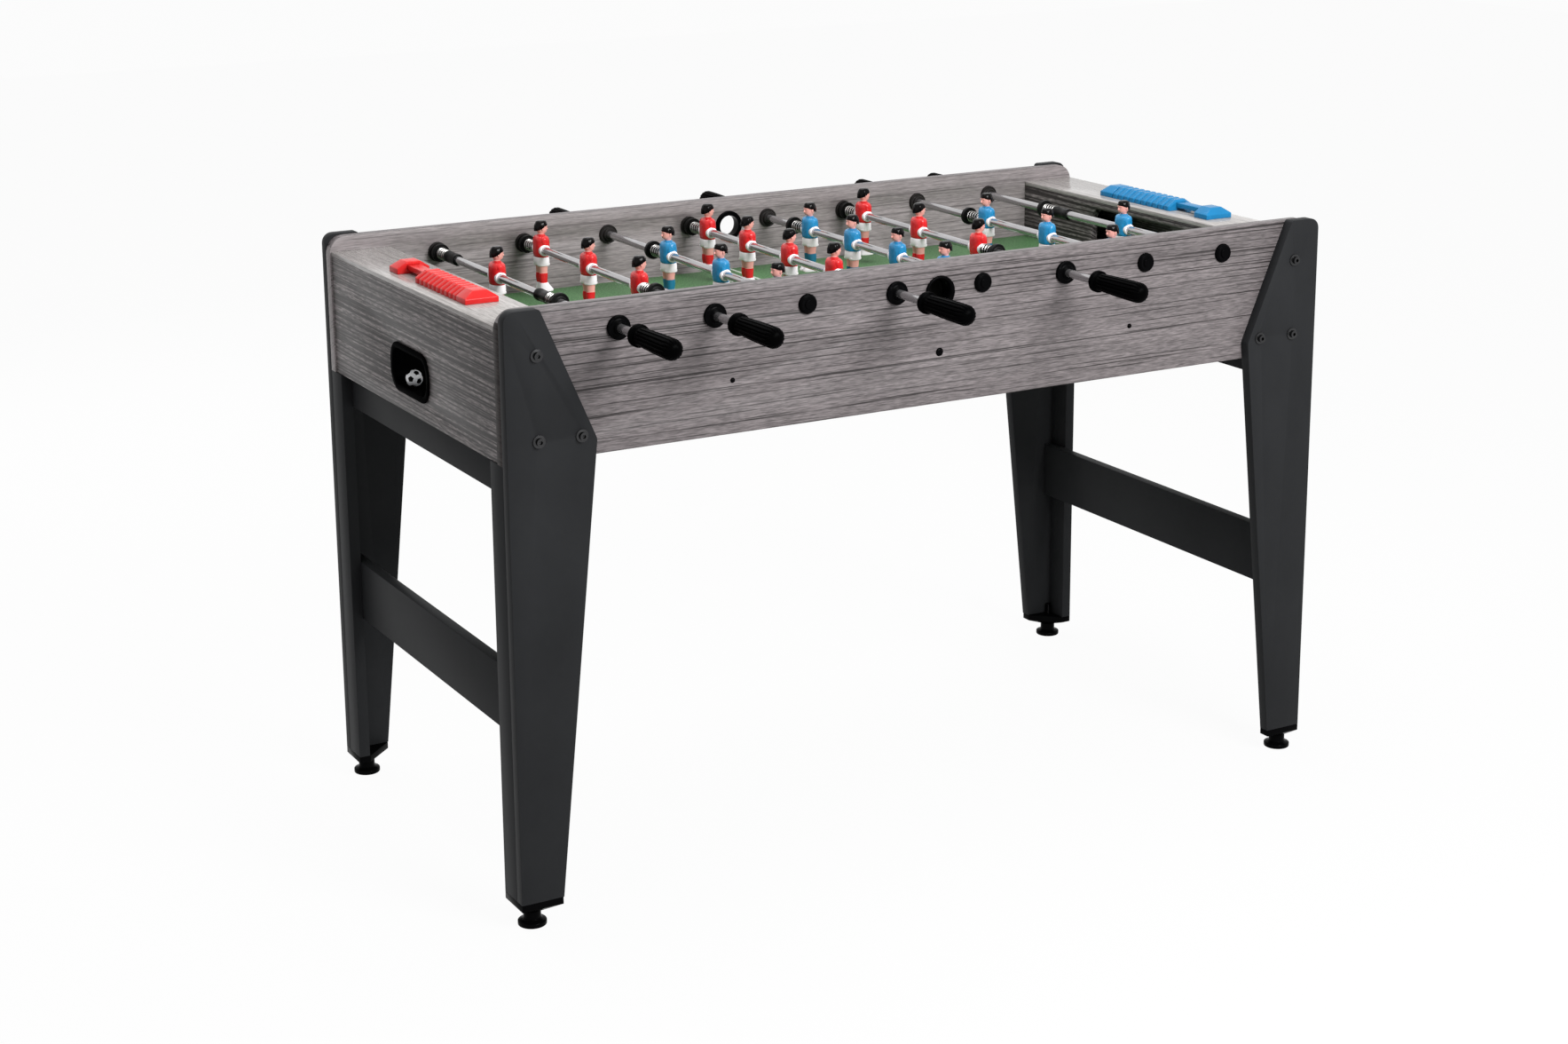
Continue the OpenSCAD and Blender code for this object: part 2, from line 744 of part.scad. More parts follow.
// Screw-in foot: disc, neck and stem
module foot(x, y) {
    neck_top = leg_clear - cap_depth - gap;
    color(black)
    at_corner(x, y) translate([foot_x, foot_y, 0])
    rotate_extrude()
    polygon([[0, 0], [foot_d / 2 - 1, 0], [foot_d / 2, 1], [foot_d / 2, foot_t - 3],
             [foot_d / 2 - 4, foot_t], [foot_neck_d / 2, foot_t], [foot_neck_d / 2, neck_top],
             [stem_d / 2, neck_top], [stem_d / 2, leg_clear + stem_above],
             [0, leg_clear + stem_above]]);
}

// ---- fasteners -----------------------------------------------------------

// Socket-head bolt and washer outside, flanged nut inside the cabinet
module leg_bolts() {
    head_d = 10;
    head_h = 5;
    socket_d = 5;
    nut_d = 14;
    nut_t = 2;
    nut_l = 8;
    grip = leg_t + panel_t;
    color(black)
    for (x = [-1, 1], y = [-1, 1], p = leg_bolt_places())
        at_corner(x, y) translate([p.x, 0, p.y]) rotate([-90, 0, 0]) {
            difference() {
                union() {
                    translate([0, 0, -washer_t]) cylinder(d = washer_d, h = washer_t);
                    translate([0, 0, -washer_t - head_h]) cylinder(d = head_d, h = head_h);
                    cylinder(d = bolt_d, h = grip + nut_l);
                }
                translate([0, 0, -washer_t - head_h - cut])
                    cylinder(d = socket_d, h = head_h - 1 + cut, $fn = 6);
            }
            translate([0, 0, grip]) difference() {
                union() {
                    cylinder(d = nut_d, h = nut_t);
                    cylinder(d = bolt_d + 3, h = nut_l);
                }
                translate([0, 0, -cut]) cylinder(d = bolt_d + 2 * run_fit, h = nut_l + 2 * cut);
            }
        }
}

// Dome-headed screws through the side panels into the battens
module panel_screws() {
    head_h = 2.2;
    color(black)
    for (x = [-1:1], y = [-1, 1]) {
        head_d = x == 0 ? screw_cap_mid_d : screw_cap_d;
        translate([x * batten_pitch, y * side_out, batten_z]) rotate([y * 90, 0, 0]) {
            cylinder(d = screw_d, h = screw_l);
            rotate_extrude()
            polygon([[0, -head_h], [head_d / 4, -head_h], [head_d * 0.42, -head_h * 0.6],
                     [head_d / 2, 0], [0, 0]]);
        }
    }
}

// ---- scorers -------------------------------------------------------------

// Cross-section of a counting block or bracket over the ledge, in the XZ plane
module block_section(lift) {
    top = block_w * 0.42;
    polygon([[-block_w / 2, lift], [block_w / 2, lift], [block_w / 2, block_h * 0.45],
             [top / 2, block_h], [-top / 2, block_h], [-block_w / 2, block_h * 0.45]]);
}

// Shapes that run along Y from y0 for a length, standing on a ledge
module on_ledge(side, y0, length) {
    translate([side * scorer_x, y0 + length, ledge_z]) rotate([90, 0, 0])
        linear_extrude(length) children();
}

// Bracket with a sloping outer end; end is -1 at the front, 1 at the back
module score_bracket(side, end) {
    y = scorer_y + end * (scorer_l / 2 - bracket_l);
    socket = score_rail_h + 2 * run_fit;
    difference() {
        intersection() {
            on_ledge(side, min(y, y + end * bracket_l), bracket_l) block_section(0);
            translate([side * scorer_x, y, ledge_z])
            rotate([90, 0, 90])
            linear_extrude(block_w + 2 * cut, center = true)
                polygon([[-end * cut, -cut], [end * bracket_l, -cut],
                         [end * bracket_l, block_h * 0.4], [end * bracket_l * 0.72, block_h + cut],
                         [-end * cut, block_h + cut]]);
        }
        translate([side * scorer_x, y, ledge_z + block_h / 2])
            cube([score_rail_w + 2 * run_fit, 2 * (rail_seat + run_fit), socket], center = true);
    }
}

module scorer_rail(side) {
    color(side < 0 ? red : blue) {
        for (end = [-1, 1]) score_bracket(side, end);
        translate([0, 0, block_h / 2])
            on_ledge(side, scorer_y - scorer_l / 2 + bracket_l - rail_seat,
                     scorer_l - 2 * bracket_l + 2 * rail_seat)
                square([score_rail_w, score_rail_h], center = true);
    }
}

// Ten counting blocks; at rest the left ones are at the front, the right ones at the back
module score_blocks(side) {
    start = side < 0 ? scorer_y - scorer_l / 2 + bracket_l
                     : scorer_y + scorer_l / 2 - bracket_l - block_count * block_l;
    color(side < 0 ? red : blue)
    for (k = [0:block_count - 1])
        difference() {
            on_ledge(side, start + k * block_l + gap / 2, block_l - gap) block_section(gap);
            translate([0, 0, block_h / 2])
                on_ledge(side, start + k * block_l - cut, block_l + 2 * cut)
                    square([score_rail_w + 2 * gap, score_rail_h + 2 * gap], center = true);
        }
}

// ---- the table -----------------------------------------------------------

for (i = rods) {
    rod(i);
    men(i);
    handle(i);
    bumpers(i);
}
inner_rods();
rod_bearings();
side_panel(-1);  // side_panel_front
side_panel(1);  // side_panel_back
end_panels();
goal_walls();
ledges();
playfield();
field_supports();
return_cups();
serve_cups();
leg(-1, -1);  // leg_front_left
leg(1, -1);  // leg_front_right
leg(-1, 1);  // leg_back_left
leg(1, 1);  // leg_back_right
end_rails();
corner_caps();
foot(-1, -1);  // foot_front_left
foot(1, -1);  // foot_front_right
foot(-1, 1);  // foot_back_left
foot(1, 1);  // foot_back_right
leg_bolts();
panel_screws();
scorer_rail(-1);  // scorer_rail_left
scorer_rail(1);  // scorer_rail_right
score_blocks(-1);  // score_blocks_left
score_blocks(1);  // score_blocks_right
ball();
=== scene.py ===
import json
from itertools import product
from math import cos, pi, radians, sin, sqrt, tau
import bmesh
import bpy
from mathutils import Euler, Matrix, Vector


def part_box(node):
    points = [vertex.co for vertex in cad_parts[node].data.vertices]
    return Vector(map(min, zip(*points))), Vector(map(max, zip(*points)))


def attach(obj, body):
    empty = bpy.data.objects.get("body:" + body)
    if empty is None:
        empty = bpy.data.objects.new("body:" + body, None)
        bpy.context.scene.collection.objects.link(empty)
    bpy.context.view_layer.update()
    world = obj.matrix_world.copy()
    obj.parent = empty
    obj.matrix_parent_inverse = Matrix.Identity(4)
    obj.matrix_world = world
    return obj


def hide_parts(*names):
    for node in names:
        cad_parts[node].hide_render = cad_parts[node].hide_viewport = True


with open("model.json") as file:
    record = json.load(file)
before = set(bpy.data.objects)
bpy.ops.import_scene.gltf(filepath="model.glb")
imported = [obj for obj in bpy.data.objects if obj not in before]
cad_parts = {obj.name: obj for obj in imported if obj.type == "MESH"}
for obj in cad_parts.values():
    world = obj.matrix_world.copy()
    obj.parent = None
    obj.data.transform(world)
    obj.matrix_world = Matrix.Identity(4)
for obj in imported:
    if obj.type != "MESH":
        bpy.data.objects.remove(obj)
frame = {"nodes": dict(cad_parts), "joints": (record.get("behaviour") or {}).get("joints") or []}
NODES = frame["nodes"]
JOINTS = {j["name"]: j for j in frame["joints"]}
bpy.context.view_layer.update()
MM = 0.001

# ---------------------------------------------------------------- materials

COAT_ROUGHNESS = 0.12
MIX_COLOR_IN, MIX_COLOR_OUT = (0, 6, 7), 2  # the Mix node's sockets for factor and colours
# Dark growth lines of the wood: lines per metre, half width as a share of their pitch, and the
# noise levels between which a stretch of them fades in.
GROWTH_LINES = ((46.0, 0.044, 0.46, 0.53), (27.3, 0.032, 0.45, 0.51),
                (90.7, 0.080, 0.48, 0.57), (151.0, 0.12, 0.50, 0.59))
CALM_CUT = 0.065  # how far growth lines are held back where a laminate is calm
ACROSS_SLANT = 0.63  # share of the other level axis in the place across the grain
METAL_DULL = 0.76  # darkest tone of a metal, as a share of its colour


class Mat:
    """A Principled material and a short way to wire nodes to it."""

    def __init__(self, name, color, rough, metallic=0.0, coat=0.0, spec=0.5):
        self.m = bpy.data.materials.new(name)
        self.m.use_nodes = True
        self.nt = self.m.node_tree
        self.b = self.nt.nodes["Principled BSDF"]
        self.b.inputs["Base Color"].default_value = (*color, 1)
        self.b.inputs["Roughness"].default_value = rough
        self.b.inputs["Metallic"].default_value = metallic
        self.b.inputs["Coat Weight"].default_value = coat
        self.b.inputs["Coat Roughness"].default_value = COAT_ROUGHNESS
        self.b.inputs["Specular IOR Level"].default_value = spec
        self.coord = None

    def node(self, kind, **values):
        n = self.nt.nodes.new("ShaderNode" + kind)
        for k, v in values.items():
            if hasattr(n, k):
                setattr(n, k, v)
            else:
                n.inputs[k.replace("_", " ")].default_value = v
        return n

    def link(self, a, b):
        self.nt.links.new(a, b)

    def feed(self, socket, x):
        """Puts a number, a colour or another node's output into a socket."""
        if isinstance(x, (int, float)):
            socket.default_value = x
        elif isinstance(x, tuple):
            socket.default_value = (*x, 1)
        else:
            self.link(x, socket)

    def coords(self, scale):
        if self.coord is None:
            self.coord = self.node("TexCoord")
        mapping = self.node("Mapping", Scale=scale)
        self.link(self.coord.outputs["Object"], mapping.inputs["Vector"])
        return mapping.outputs["Vector"]

    def noise(self, scale, detail, rough):
        n = self.node("TexNoise", Scale=1.0, Detail=detail, Roughness=rough)
        self.link(self.coords(scale), n.inputs["Vector"])
        return n.outputs["Fac"]

    def ramp(self, fac, stops):
        r = self.node("ValToRGB")
        e = r.color_ramp.elements
        while len(e) < len(stops):
            e.new(0.5)
        for el, (p, c) in zip(e, stops):
            el.position = p
            el.color = (*c, 1) if isinstance(c, tuple) else (c, c, c, 1)
        self.link(fac, r.inputs["Fac"])
        return r.outputs["Color"]

    def math(self, op, a, b=None, c=None):
        n = self.node("Math")
        n.operation = op
        for i, x in enumerate((a, b, c)):
            if x is not None:
                self.feed(n.inputs[i], x)
        return n.outputs[0]

    def mix(self, fac, a, b, blend="MIX"):
        n = self.node("Mix")
        n.data_type = "RGBA"
        n.blend_type = blend
        for i, x in zip(MIX_COLOR_IN, (fac, a, b)):
            self.feed(n.inputs[i], x)
        return n.outputs[MIX_COLOR_OUT]

    def base(self, col):
        self.link(col, self.b.inputs["Base Color"])

    def rough(self, fac, lo, hi):
        n = self.node("MapRange")
        n.inputs["To Min"].default_value = lo
        n.inputs["To Max"].default_value = hi
        self.link(fac, n.inputs["Value"])
        self.link(n.outputs["Result"], self.b.inputs["Roughness"])

    def bump(self, fac, strength, dist):
        n = self.node("Bump", Strength=strength, Distance=dist)
        self.link(fac, n.inputs["Height"])
        self.link(n.outputs["Normal"], self.b.inputs["Normal"])
        return self


def laminate(name, along, light, dark, line, gloss=0.42, coat=0.0, spec=0.3, marks=1.0,
             fine=1.0, dense=0.0, soft=1.0, wide=1.0, calm=None):
    """Printed wood grain along one axis: soft bands, fine streaks, pores and dark growth lines.
    soft, fine and marks set the contrast of streaks, fibres and marks. dense and wide give more
    and wider growth lines. calm = (height, height): they thin out from the first to the second."""

    def sc(a, across):
        s = [across] * 3
        s[along] = a
        return tuple(s)

    m = Mat(name, light, gloss, coat=coat, spec=spec)
    band = m.noise(sc(0.9, 30), 5, 0.6)
    streak = m.noise(sc(3.4, 400), 6, 0.78)
    grain = m.noise(sc(85, 850), 2, 0.5)
    dash = m.noise(sc(38, 460), 2, 0.5)
    col = m.ramp(band, [(0.30, dark), (0.66, light)])
    for noise, share, low, mid, high in (
            (streak, 1.0, (0.28, 1 - 0.27 * soft), (0.50, 0.985), (0.72, 1 + 0.24 * soft)),
            (dash, 1.0, (0.30, 1 - 0.20 * fine), (0.50, 1.0), (0.70, 1 + 0.18 * fine)),
            (grain, marks, (0.30, 1 - 0.42 * fine), (0.50, 1.0), (0.70, 1 + 0.42 * fine))):
        col = m.mix(share, col, m.ramp(noise, [low, mid, high]), "MULTIPLY")
    xyz = m.node("SeparateXYZ")
    m.link(m.coords((1, 1, 1)), xyz.inputs[0])
    across = m.math("MULTIPLY_ADD", xyz.outputs[1 - along], ACROSS_SLANT, xyz.outputs[2])
    fewer = None
    if calm:
        fewer = m.node("MapRange")
        for key, value in zip(("From Min", "From Max", "To Min", "To Max"), (*calm, 0.0, CALM_CUT)):
            fewer.inputs[key].default_value = value
        m.link(xyz.outputs[2], fewer.inputs["Value"])
    lines = None
    for per_metre, width, low, high in GROWTH_LINES:
        drift = m.noise(sc(0.4, 9 + per_metre * 0.1), 3, 0.45)
        phase = m.math("MULTIPLY_ADD", drift, 2.5, m.math("MULTIPLY", across, per_metre))
        edge = m.math("ABSOLUTE", m.math("SUBTRACT", m.math("FRACT", phase), 0.5))
        width *= wide
        patch = m.noise(sc(1.2 + per_metre * 0.02, per_metre * 0.8), 3, 0.6)
        if fewer:
            patch = m.math("SUBTRACT", patch, fewer.outputs["Result"])
        part = m.ramp(patch, [(low - dense, 0.0), (high - dense, 1.0)])
        thin = m.ramp(edge, [(0.0, 1.0), (width * 0.5, 0.9), (width, 0.0)])
        one = m.math("MULTIPLY", thin, part)
        lines = one if lines is None else m.math("MAXIMUM", lines, one)
    col = m.mix(m.math("MULTIPLY", lines, 0.92 * marks), col, line)
    pores = m.ramp(m.noise(sc(30, 1100), 2, 0.5), [(0.0, 1.0), (0.35, 1.0), (0.42, 0.0)])
    col = m.mix(m.math("MULTIPLY", pores, 0.38 * marks), col, line)
    m.base(col)
    m.rough(streak, gloss - 0.07, gloss + 0.1)
    m.bump(m.math("SUBTRACT", streak, lines), 0.2, 0.0002)
    return m.m


def board_foil(name, color, rough, spec):
    """Dark foil with a faint leather grain and a few rubbed, slightly paler places."""
    m = Mat(name, color, rough, spec=spec)
    wear = m.noise((7, 7, 5), 5, 0.65)
    m.base(m.ramp(wear, [(0.25, tuple(c * 0.86 for c in color)),
                         (0.75, tuple(c * 1.16 for c in color))]))
    grain = m.noise((1500, 1500, 1500), 3, 0.6)
    m.rough(wear, rough - 0.06, rough + 0.1)
    return m.bump(grain, 0.22, 0.0002).m


def plastic(name, color, rough, grain=900, bump=0.1, vary=0.1, coat=0.0, spec=0.5, depth=0.0002):
    """Moulded plastic with a slightly uneven tone and a fine surface grain."""
    m = Mat(name, color, rough, coat=coat, spec=spec)
    tone = m.noise((38, 38, 38), 4, 0.6)
    m.base(m.ramp(tone, [(0.3, tuple(c * (1 - vary) for c in color)),
                         (0.7, tuple(min(1, c * (1 + vary)) for c in color))]))
    m.rough(tone, max(0.03, rough - 0.06), rough + 0.08)
    return m.bump(m.noise((grain,) * 3, 3, 0.6), bump, depth).m


def metal(name, color, rough, streak=900, metallic=1.0):
    """Turned or drawn metal with fine streaks along Y."""
    m = Mat(name, color, rough, metallic=metallic)
    streaks = m.noise((streak, 5, streak), 4, 0.65)
    smudge = m.noise((30, 30, 30), 4, 0.6)
    m.base(m.ramp(m.math("MULTIPLY", m.math("ADD", streaks, smudge), 0.5),
                  [(0.3, tuple(c * METAL_DULL for c in color)), (0.62, color)]))
    m.rough(smudge, rough * 0.7, rough * 1.7)
    return m.bump(streaks, 0.07, 0.0001).m


def turf(name):
    """Printed field: fine two-tone green speckle."""
    m = Mat(name, (0.06, 0.15, 0.06), 0.5, spec=0.3)
    speck = m.noise((480, 480, 480), 2, 0.6)
    cloud = m.noise((14, 14, 14), 4, 0.6)
    green = m.ramp(speck, [(0.36, (0.020, 0.066, 0.024)), (0.5, (0.060, 0.160, 0.058)),
                           (0.64, (0.155, 0.300, 0.135))])
    m.base(m.mix(0.35, green, m.ramp(cloud, [(0.3, 0.75), (0.7, 1.15)]), "MULTIPLY"))
    m.rough(cloud, 0.42, 0.6)
    return m.bump(speck, 0.12, 0.0002).m


# Each laminate: light tone, dark tone, line colour.
GREY_TONES = (0.166, 0.147, 0.150), (0.122, 0.108, 0.110), (0.008, 0.006, 0.006)
# Lighter copy of the grey laminate for the panels' inside faces and the back panel's end edges:
# painted light.
PAINTED_LIGHT_TONES = (0.262, 0.234, 0.236), (0.215, 0.191, 0.193), (0.030, 0.025, 0.025)
CROSS_TONES = (0.190, 0.170, 0.169), (0.100, 0.088, 0.088), (0.008, 0.006, 0.006)
# Near-black copy of the grey laminate for the front panel's end edges: painted shade.
PAINTED_SHADE_TONES = (0.036, 0.030, 0.029), (0.028, 0.023, 0.022), (0.008, 0.006, 0.006)
LEDGE_TONES = (0.365, 0.345, 0.334), (0.315, 0.297, 0.287), (0.16, 0.145, 0.135)
RAW_TONES = (0.46, 0.34, 0.21), (0.36, 0.25, 0.14), (0.2, 0.12, 0.06)
ALONG_X, ALONG_Y = 0, 1
GREY = laminate("grey_laminate_x", ALONG_X, *GREY_TONES,
                soft=0.45, fine=0.85, dense=0.022, calm=(0.69, 0.62))
GREY_Y = laminate("grey_laminate_y", ALONG_Y, *CROSS_TONES,
                  soft=1.6, fine=1.8, dense=0.092, wide=1.9)
# Front panel's end edges: the grey laminate darkened, as painted shade.
GREY_PAINTED_SHADE = laminate("grey_laminate_edge_painted_shade", ALONG_Y, *PAINTED_SHADE_TONES, spec=0.04)
# Inside faces: the grey laminate made lighter, as painted light.
GREY_PAINTED_LIGHT = laminate("grey_laminate_inside_painted_light", ALONG_X, *PAINTED_LIGHT_TONES,
                   soft=0.4, marks=0.6, fine=0.8, dense=-0.02)
LEDGE = laminate("ledge_laminate", ALONG_Y, *LEDGE_TONES,
                 gloss=0.17, coat=0.14, spec=0.15, marks=0.35)
CHARCOAL = board_foil("charcoal_foil", (0.0198, 0.0205, 0.0218), 0.42, spec=0.028)
RAW = laminate("raw_wood", ALONG_X, *RAW_TONES, gloss=0.65)
TURF = turf("field_green")
LINE = plastic("line_white", (0.50, 0.56, 0.49), 0.5, grain=500, vary=0.12)
CHROME = metal("rod_chrome", (0.52, 0.51, 0.52), 0.11, metallic=0.88)
SPRING = metal("spring_steel", (0.33, 0.32, 0.31), 0.22, streak=300)
STEEL = metal("black_steel", (0.056, 0.056, 0.058), 0.2, streak=500)
JET = (0.0014, 0.0014, 0.0016)
BLACK = plastic("black_plastic", JET, 0.2, bump=0.1, spec=0.018)
# A lighter copy of the black plastic: painted light on the inner bearings, painted reflection
# inside the serve hood.
BLACK_PAINTED_LIGHT = plastic("black_plastic_painted_light", (0.016, 0.0145, 0.014), 0.34, bump=0.25, spec=0.08)
BLACK_CUP = plastic("black_plastic_cup", JET, 0.25, bump=0.1, spec=0.0006)
RUBBER = plastic("grip_rubber", (0.0008, 0.0008, 0.0009), 0.26, grain=1300, bump=0.12, spec=0.006)
DISC = plastic("bumper_rubber", (0.0065, 0.0065, 0.0065), 0.32, grain=1100, bump=0.2, spec=0.08)
SHIRT = dict(rough=0.2, grain=170, bump=0.8, coat=0.2, spec=0.3, depth=0.0014)
RED = plastic("shirt_red", (0.64, 0.016, 0.019), **SHIRT)
BLUE = plastic("shirt_blue", (0.016, 0.225, 0.47), **SHIRT)
SOCK_BLUE = plastic("sock_blue", (0.010, 0.155, 0.27), 0.3)
SKIN = plastic("skin", (0.76, 0.36, 0.315), 0.3, vary=0.06, spec=0.3)
HAIR = plastic("hair_black", (0.0030, 0.0025, 0.0025), 0.07, grain=260, bump=0.12, spec=0.09)
WHITE = plastic("kit_white", (0.95, 0.885, 0.93), 0.3, vary=0.03)
BALL = plastic("ball_white", (0.94, 0.95, 0.98), 0.3, vary=0.03)
SCORE_RED = plastic("scorer_red", (0.61, 0.020, 0.020), 0.25, vary=0.06, spec=0.18)
SCORE_BLUE = plastic("scorer_blue", (0.010, 0.165, 0.36), 0.25, vary=0.06, spec=0.18)

# ---------------------------------------------------------------- mesh tools

ON_AXIS = 1e-7  # a profile that starts or ends nearer than this to its axis needs no cap
DRAWN_MERGE, DRAWN_SLIVER = 2e-6, 1e-7
CAD_MERGE = 1e-5
CAD_FLAT, CAD_EDGE = 0.6, 30  # degrees: flatter edges are dissolved, sharper ones are bevelled
NEAREST = 1e4  # steps per metre to which paint() matches face centres


class Shape:
    """Collects vertices and faces of one piece, with a material number for each face."""

    def __init__(self):
        self.v, self.f, self.m = [], [], []

    def add(self, verts, faces, mat=0, xf=None):
        n = len(self.v)
        self.v += [tuple(xf @ Vector(p)) if xf else tuple(p) for p in verts]
        self.f += [tuple(n + i for i in face) for face in faces]
        self.m += [mat] * len(faces)

    def loft(self, rings, mat=0, caps=(True, True), xf=None):
        """Joins rings of as many points each; caps close the first and the last."""
        k = len(rings[0])
        verts = [p for r in rings for p in r]
        faces = [(a * k + j, a * k + (j + 1) % k, (a + 1) * k + (j + 1) % k, (a + 1) * k + j)
                 for a in range(len(rings) - 1) for j in range(k)]
        if caps[0]:
            faces.append(tuple(reversed(range(k))))
        if caps[1]:
            faces.append(tuple((len(rings) - 1) * k + j for j in range(k)))
        self.add(verts, faces, mat, xf)

    def lathe(self, profile, mat=0, segs=48, xf=None, closed=False):
        """Revolves (radius, height) points round +Z. closed joins the last to the first."""
        rings = [[(r * cos(tau * j / segs), r * sin(tau * j / segs), h) for j in range(segs)]
                 for r, h in profile]
        if closed:
            rings.append(rings[0])
        caps = tuple(not closed and end[0] > ON_AXIS for end in (profile[0], profile[-1]))
        self.loft(rings, mat, caps, xf)

    def helix(self, radius, wire, length, turns, mat=0, xf=None):
        """Compression spring along +Z with nearly a closed turn at each end."""
        segs, sides = 22, 8
        flat, rise = 0.75, 0.9  # turns of each end, and how many wires a turn climbs there
        total = int((turns + 2 * flat) * segs)
        path = []
        for k in range(total + 1):
            t = k / segs
            u = min(max((t - flat) / turns, 0), 1)
            z = wire / 2 + min(t, flat) * wire * rise
            z += u * (length - wire - 2 * flat * wire * rise)
            z += max(0, t - flat - turns) * wire * rise
            path.append(Vector((radius * cos(tau * t), radius * sin(tau * t), z)))
        rings = []
        for k, p in enumerate(path):
            d = (path[min(k + 1, total)] - path[max(k - 1, 0)]).normalized()
            side = Vector((p.x, p.y, 0)).normalized()
            up = d.cross(side)
            round_wire = [side * cos(tau * j / sides) + up * sin(tau * j / sides)
                          for j in range(sides)]
            rings.append([tuple(p + out * wire / 2) for out in round_wire])
        self.loft(rings, mat, xf=xf)

    def build(self, name, mats, body, nodes, sharp=32):
        """Makes the piece, with doubled points merged."""
        mesh = bpy.data.meshes.new(name)
        mesh.from_pydata(self.v, [], self.f)
        bm = bmesh.new()
        bm.from_mesh(mesh)
        bmesh.ops.remove_doubles(bm, verts=bm.verts, dist=DRAWN_MERGE)
        bmesh.ops.dissolve_degenerate(bm, dist=DRAWN_SLIVER, edges=bm.edges)
        bm.to_mesh(mesh)
        bm.free()
        finish_piece(mesh, name, mats, body, nodes, sharp, self)


def finish_piece(mesh, name, mats, body, nodes, sharp, shape=None):
    """Makes the object: materials, smooth faces with sharp edges, its body, and hides its CAD
    nodes.
    """
    for m in mats:
        mesh.materials.append(m)
    ob = bpy.data.objects.new(name, mesh)
    bpy.context.scene.collection.objects.link(ob)
    if shape is not None and len(mats) > 1:
        paint(mesh, shape)
    bm = bmesh.new()
    bm.from_mesh(mesh)
    bmesh.ops.recalc_face_normals(bm, faces=bm.faces)
    bm.to_mesh(mesh)
    bm.free()
    mesh.polygons.foreach_set("use_smooth", [True] * len(mesh.polygons))
    mesh.set_sharp_from_angle(angle=radians(sharp))
    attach(ob, body)
    for n in nodes:
        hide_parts(n)


def paint(mesh, shape):
    """Gives each face of the cleaned mesh the material of the drawn face that it came from."""

    def cell(points):
        return tuple(round(sum(q[k] for q in points) / len(points) * NEAREST) for k in range(3))

    drawn = {}
    for face, m in zip(shape.f, shape.m):
        drawn.setdefault(cell([shape.v[i] for i in set(face)]), m)
    for p in mesh.polygons:
        base = cell([mesh.vertices[i].co for i in p.vertices])
        m = drawn.get(base)
        if m is None:
            around = (tuple(a + b for a, b in zip(base, step))
                      for step in product((-1, 0, 1), repeat=3))
            m = next((drawn[q] for q in around if q in drawn), 0)
        p.material_index = m


def from_cad(node, mats, bevel, segs=2, pick=None):
    """A CAD node's own solids with rounded edges, part of the cabinet. pick(face centre, normal)
    gives the material number."""
    bm = bmesh.new()
    bm.from_mesh(NODES[node].data)
    bmesh.ops.remove_doubles(bm, verts=bm.verts, dist=CAD_MERGE)
    bmesh.ops.dissolve_limit(bm, angle_limit=radians(CAD_FLAT), verts=bm.verts, edges=bm.edges)
    edges = [e for e in bm.edges if e.is_manifold and e.calc_face_angle(0) > radians(CAD_EDGE)]
    bmesh.ops.bevel(bm, geom=edges, offset=bevel * MM, offset_type="OFFSET", segments=segs,
                    profile=0.5, affect="EDGES", clamp_overlap=True)
    if pick:
        for f in bm.faces:
            f.material_index = pick(f.calc_center_median(), f.normal)
    title = node + "_looks"
    mesh = bpy.data.meshes.new(title)
    bm.to_mesh(mesh)
    bm.free()
    finish_piece(mesh, title, mats, "cabinet", (node,), 40)


def axis_y(x, y, z, sign=1):
    """Turns +Z of a drawn shape to +Y (sign 1) or -Y (sign -1), from a point."""
    return Matrix.Translation((x, y, z)) @ Matrix.Rotation(-sign * pi / 2, 4, "X")


def arc(cx, cy, r, a0, a1, n):
    """n + 1 points on a circle, from the angle a0 to a1 in degrees."""
    angles = [radians(a0 + (a1 - a0) * k / n) for k in range(n + 1)]
    return [(cx + r * cos(a), cy + r * sin(a)) for a in angles]


def scaled(profile):
    """Millimetres to metres."""
    return [(r * MM, h * MM) for r, h in profile]


# ---------------------------------------------------------------- measures

lo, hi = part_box("side_panel_front")
SIDE_OUT, SIDE_IN = -lo.y, -hi.y
GOAL_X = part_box("playfield")[1].x
FIELD_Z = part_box("playfield")[1].z
PANEL = SIDE_OUT - SIDE_IN
CORNERS = ("front_left", "front_right", "back_left", "back_right")
PLAYERS = [1, 3, 3, 4, 4, 3, 3, 1]
TEAM = [int(JOINTS[f"rod_{i}_slide"]["axis"][1]) for i in range(1, 9)]  # the side of its handle
ROD_X = [JOINTS[f"rod_{i}_spin"]["pos_m"][0] for i in range(1, 9)]
ROD_Z = JOINTS["rod_1_spin"]["pos_m"][2]
MAN_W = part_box("men_1")[1].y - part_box("men_1")[0].y
# Radii in millimetres: the tube and its bore, and what goes round it.
TUBE_R, TUBE_BORE, BEARING_BORE, BUMPER_BORE, RING_BORE = 5.5, 3.8, 5.6, 5.85, 5.65

# ---------------------------------------------------------------- boards


def panel_face(out):
    """Material numbers of a side panel whose outer face looks to Y = out: 1 inside, a lighter copy
    of the laminate as painted light; 2 the ends of the front panel, a dark copy as painted shade
    (the back panel's ends have 1, painted light); 0 elsewhere."""

    def pick(centre, normal):
        end = abs(normal.x) > 0.9
        if normal.y * out < -0.7 or (out > 0 and end):
            return 1
        return 2 if end else 0

    return pick


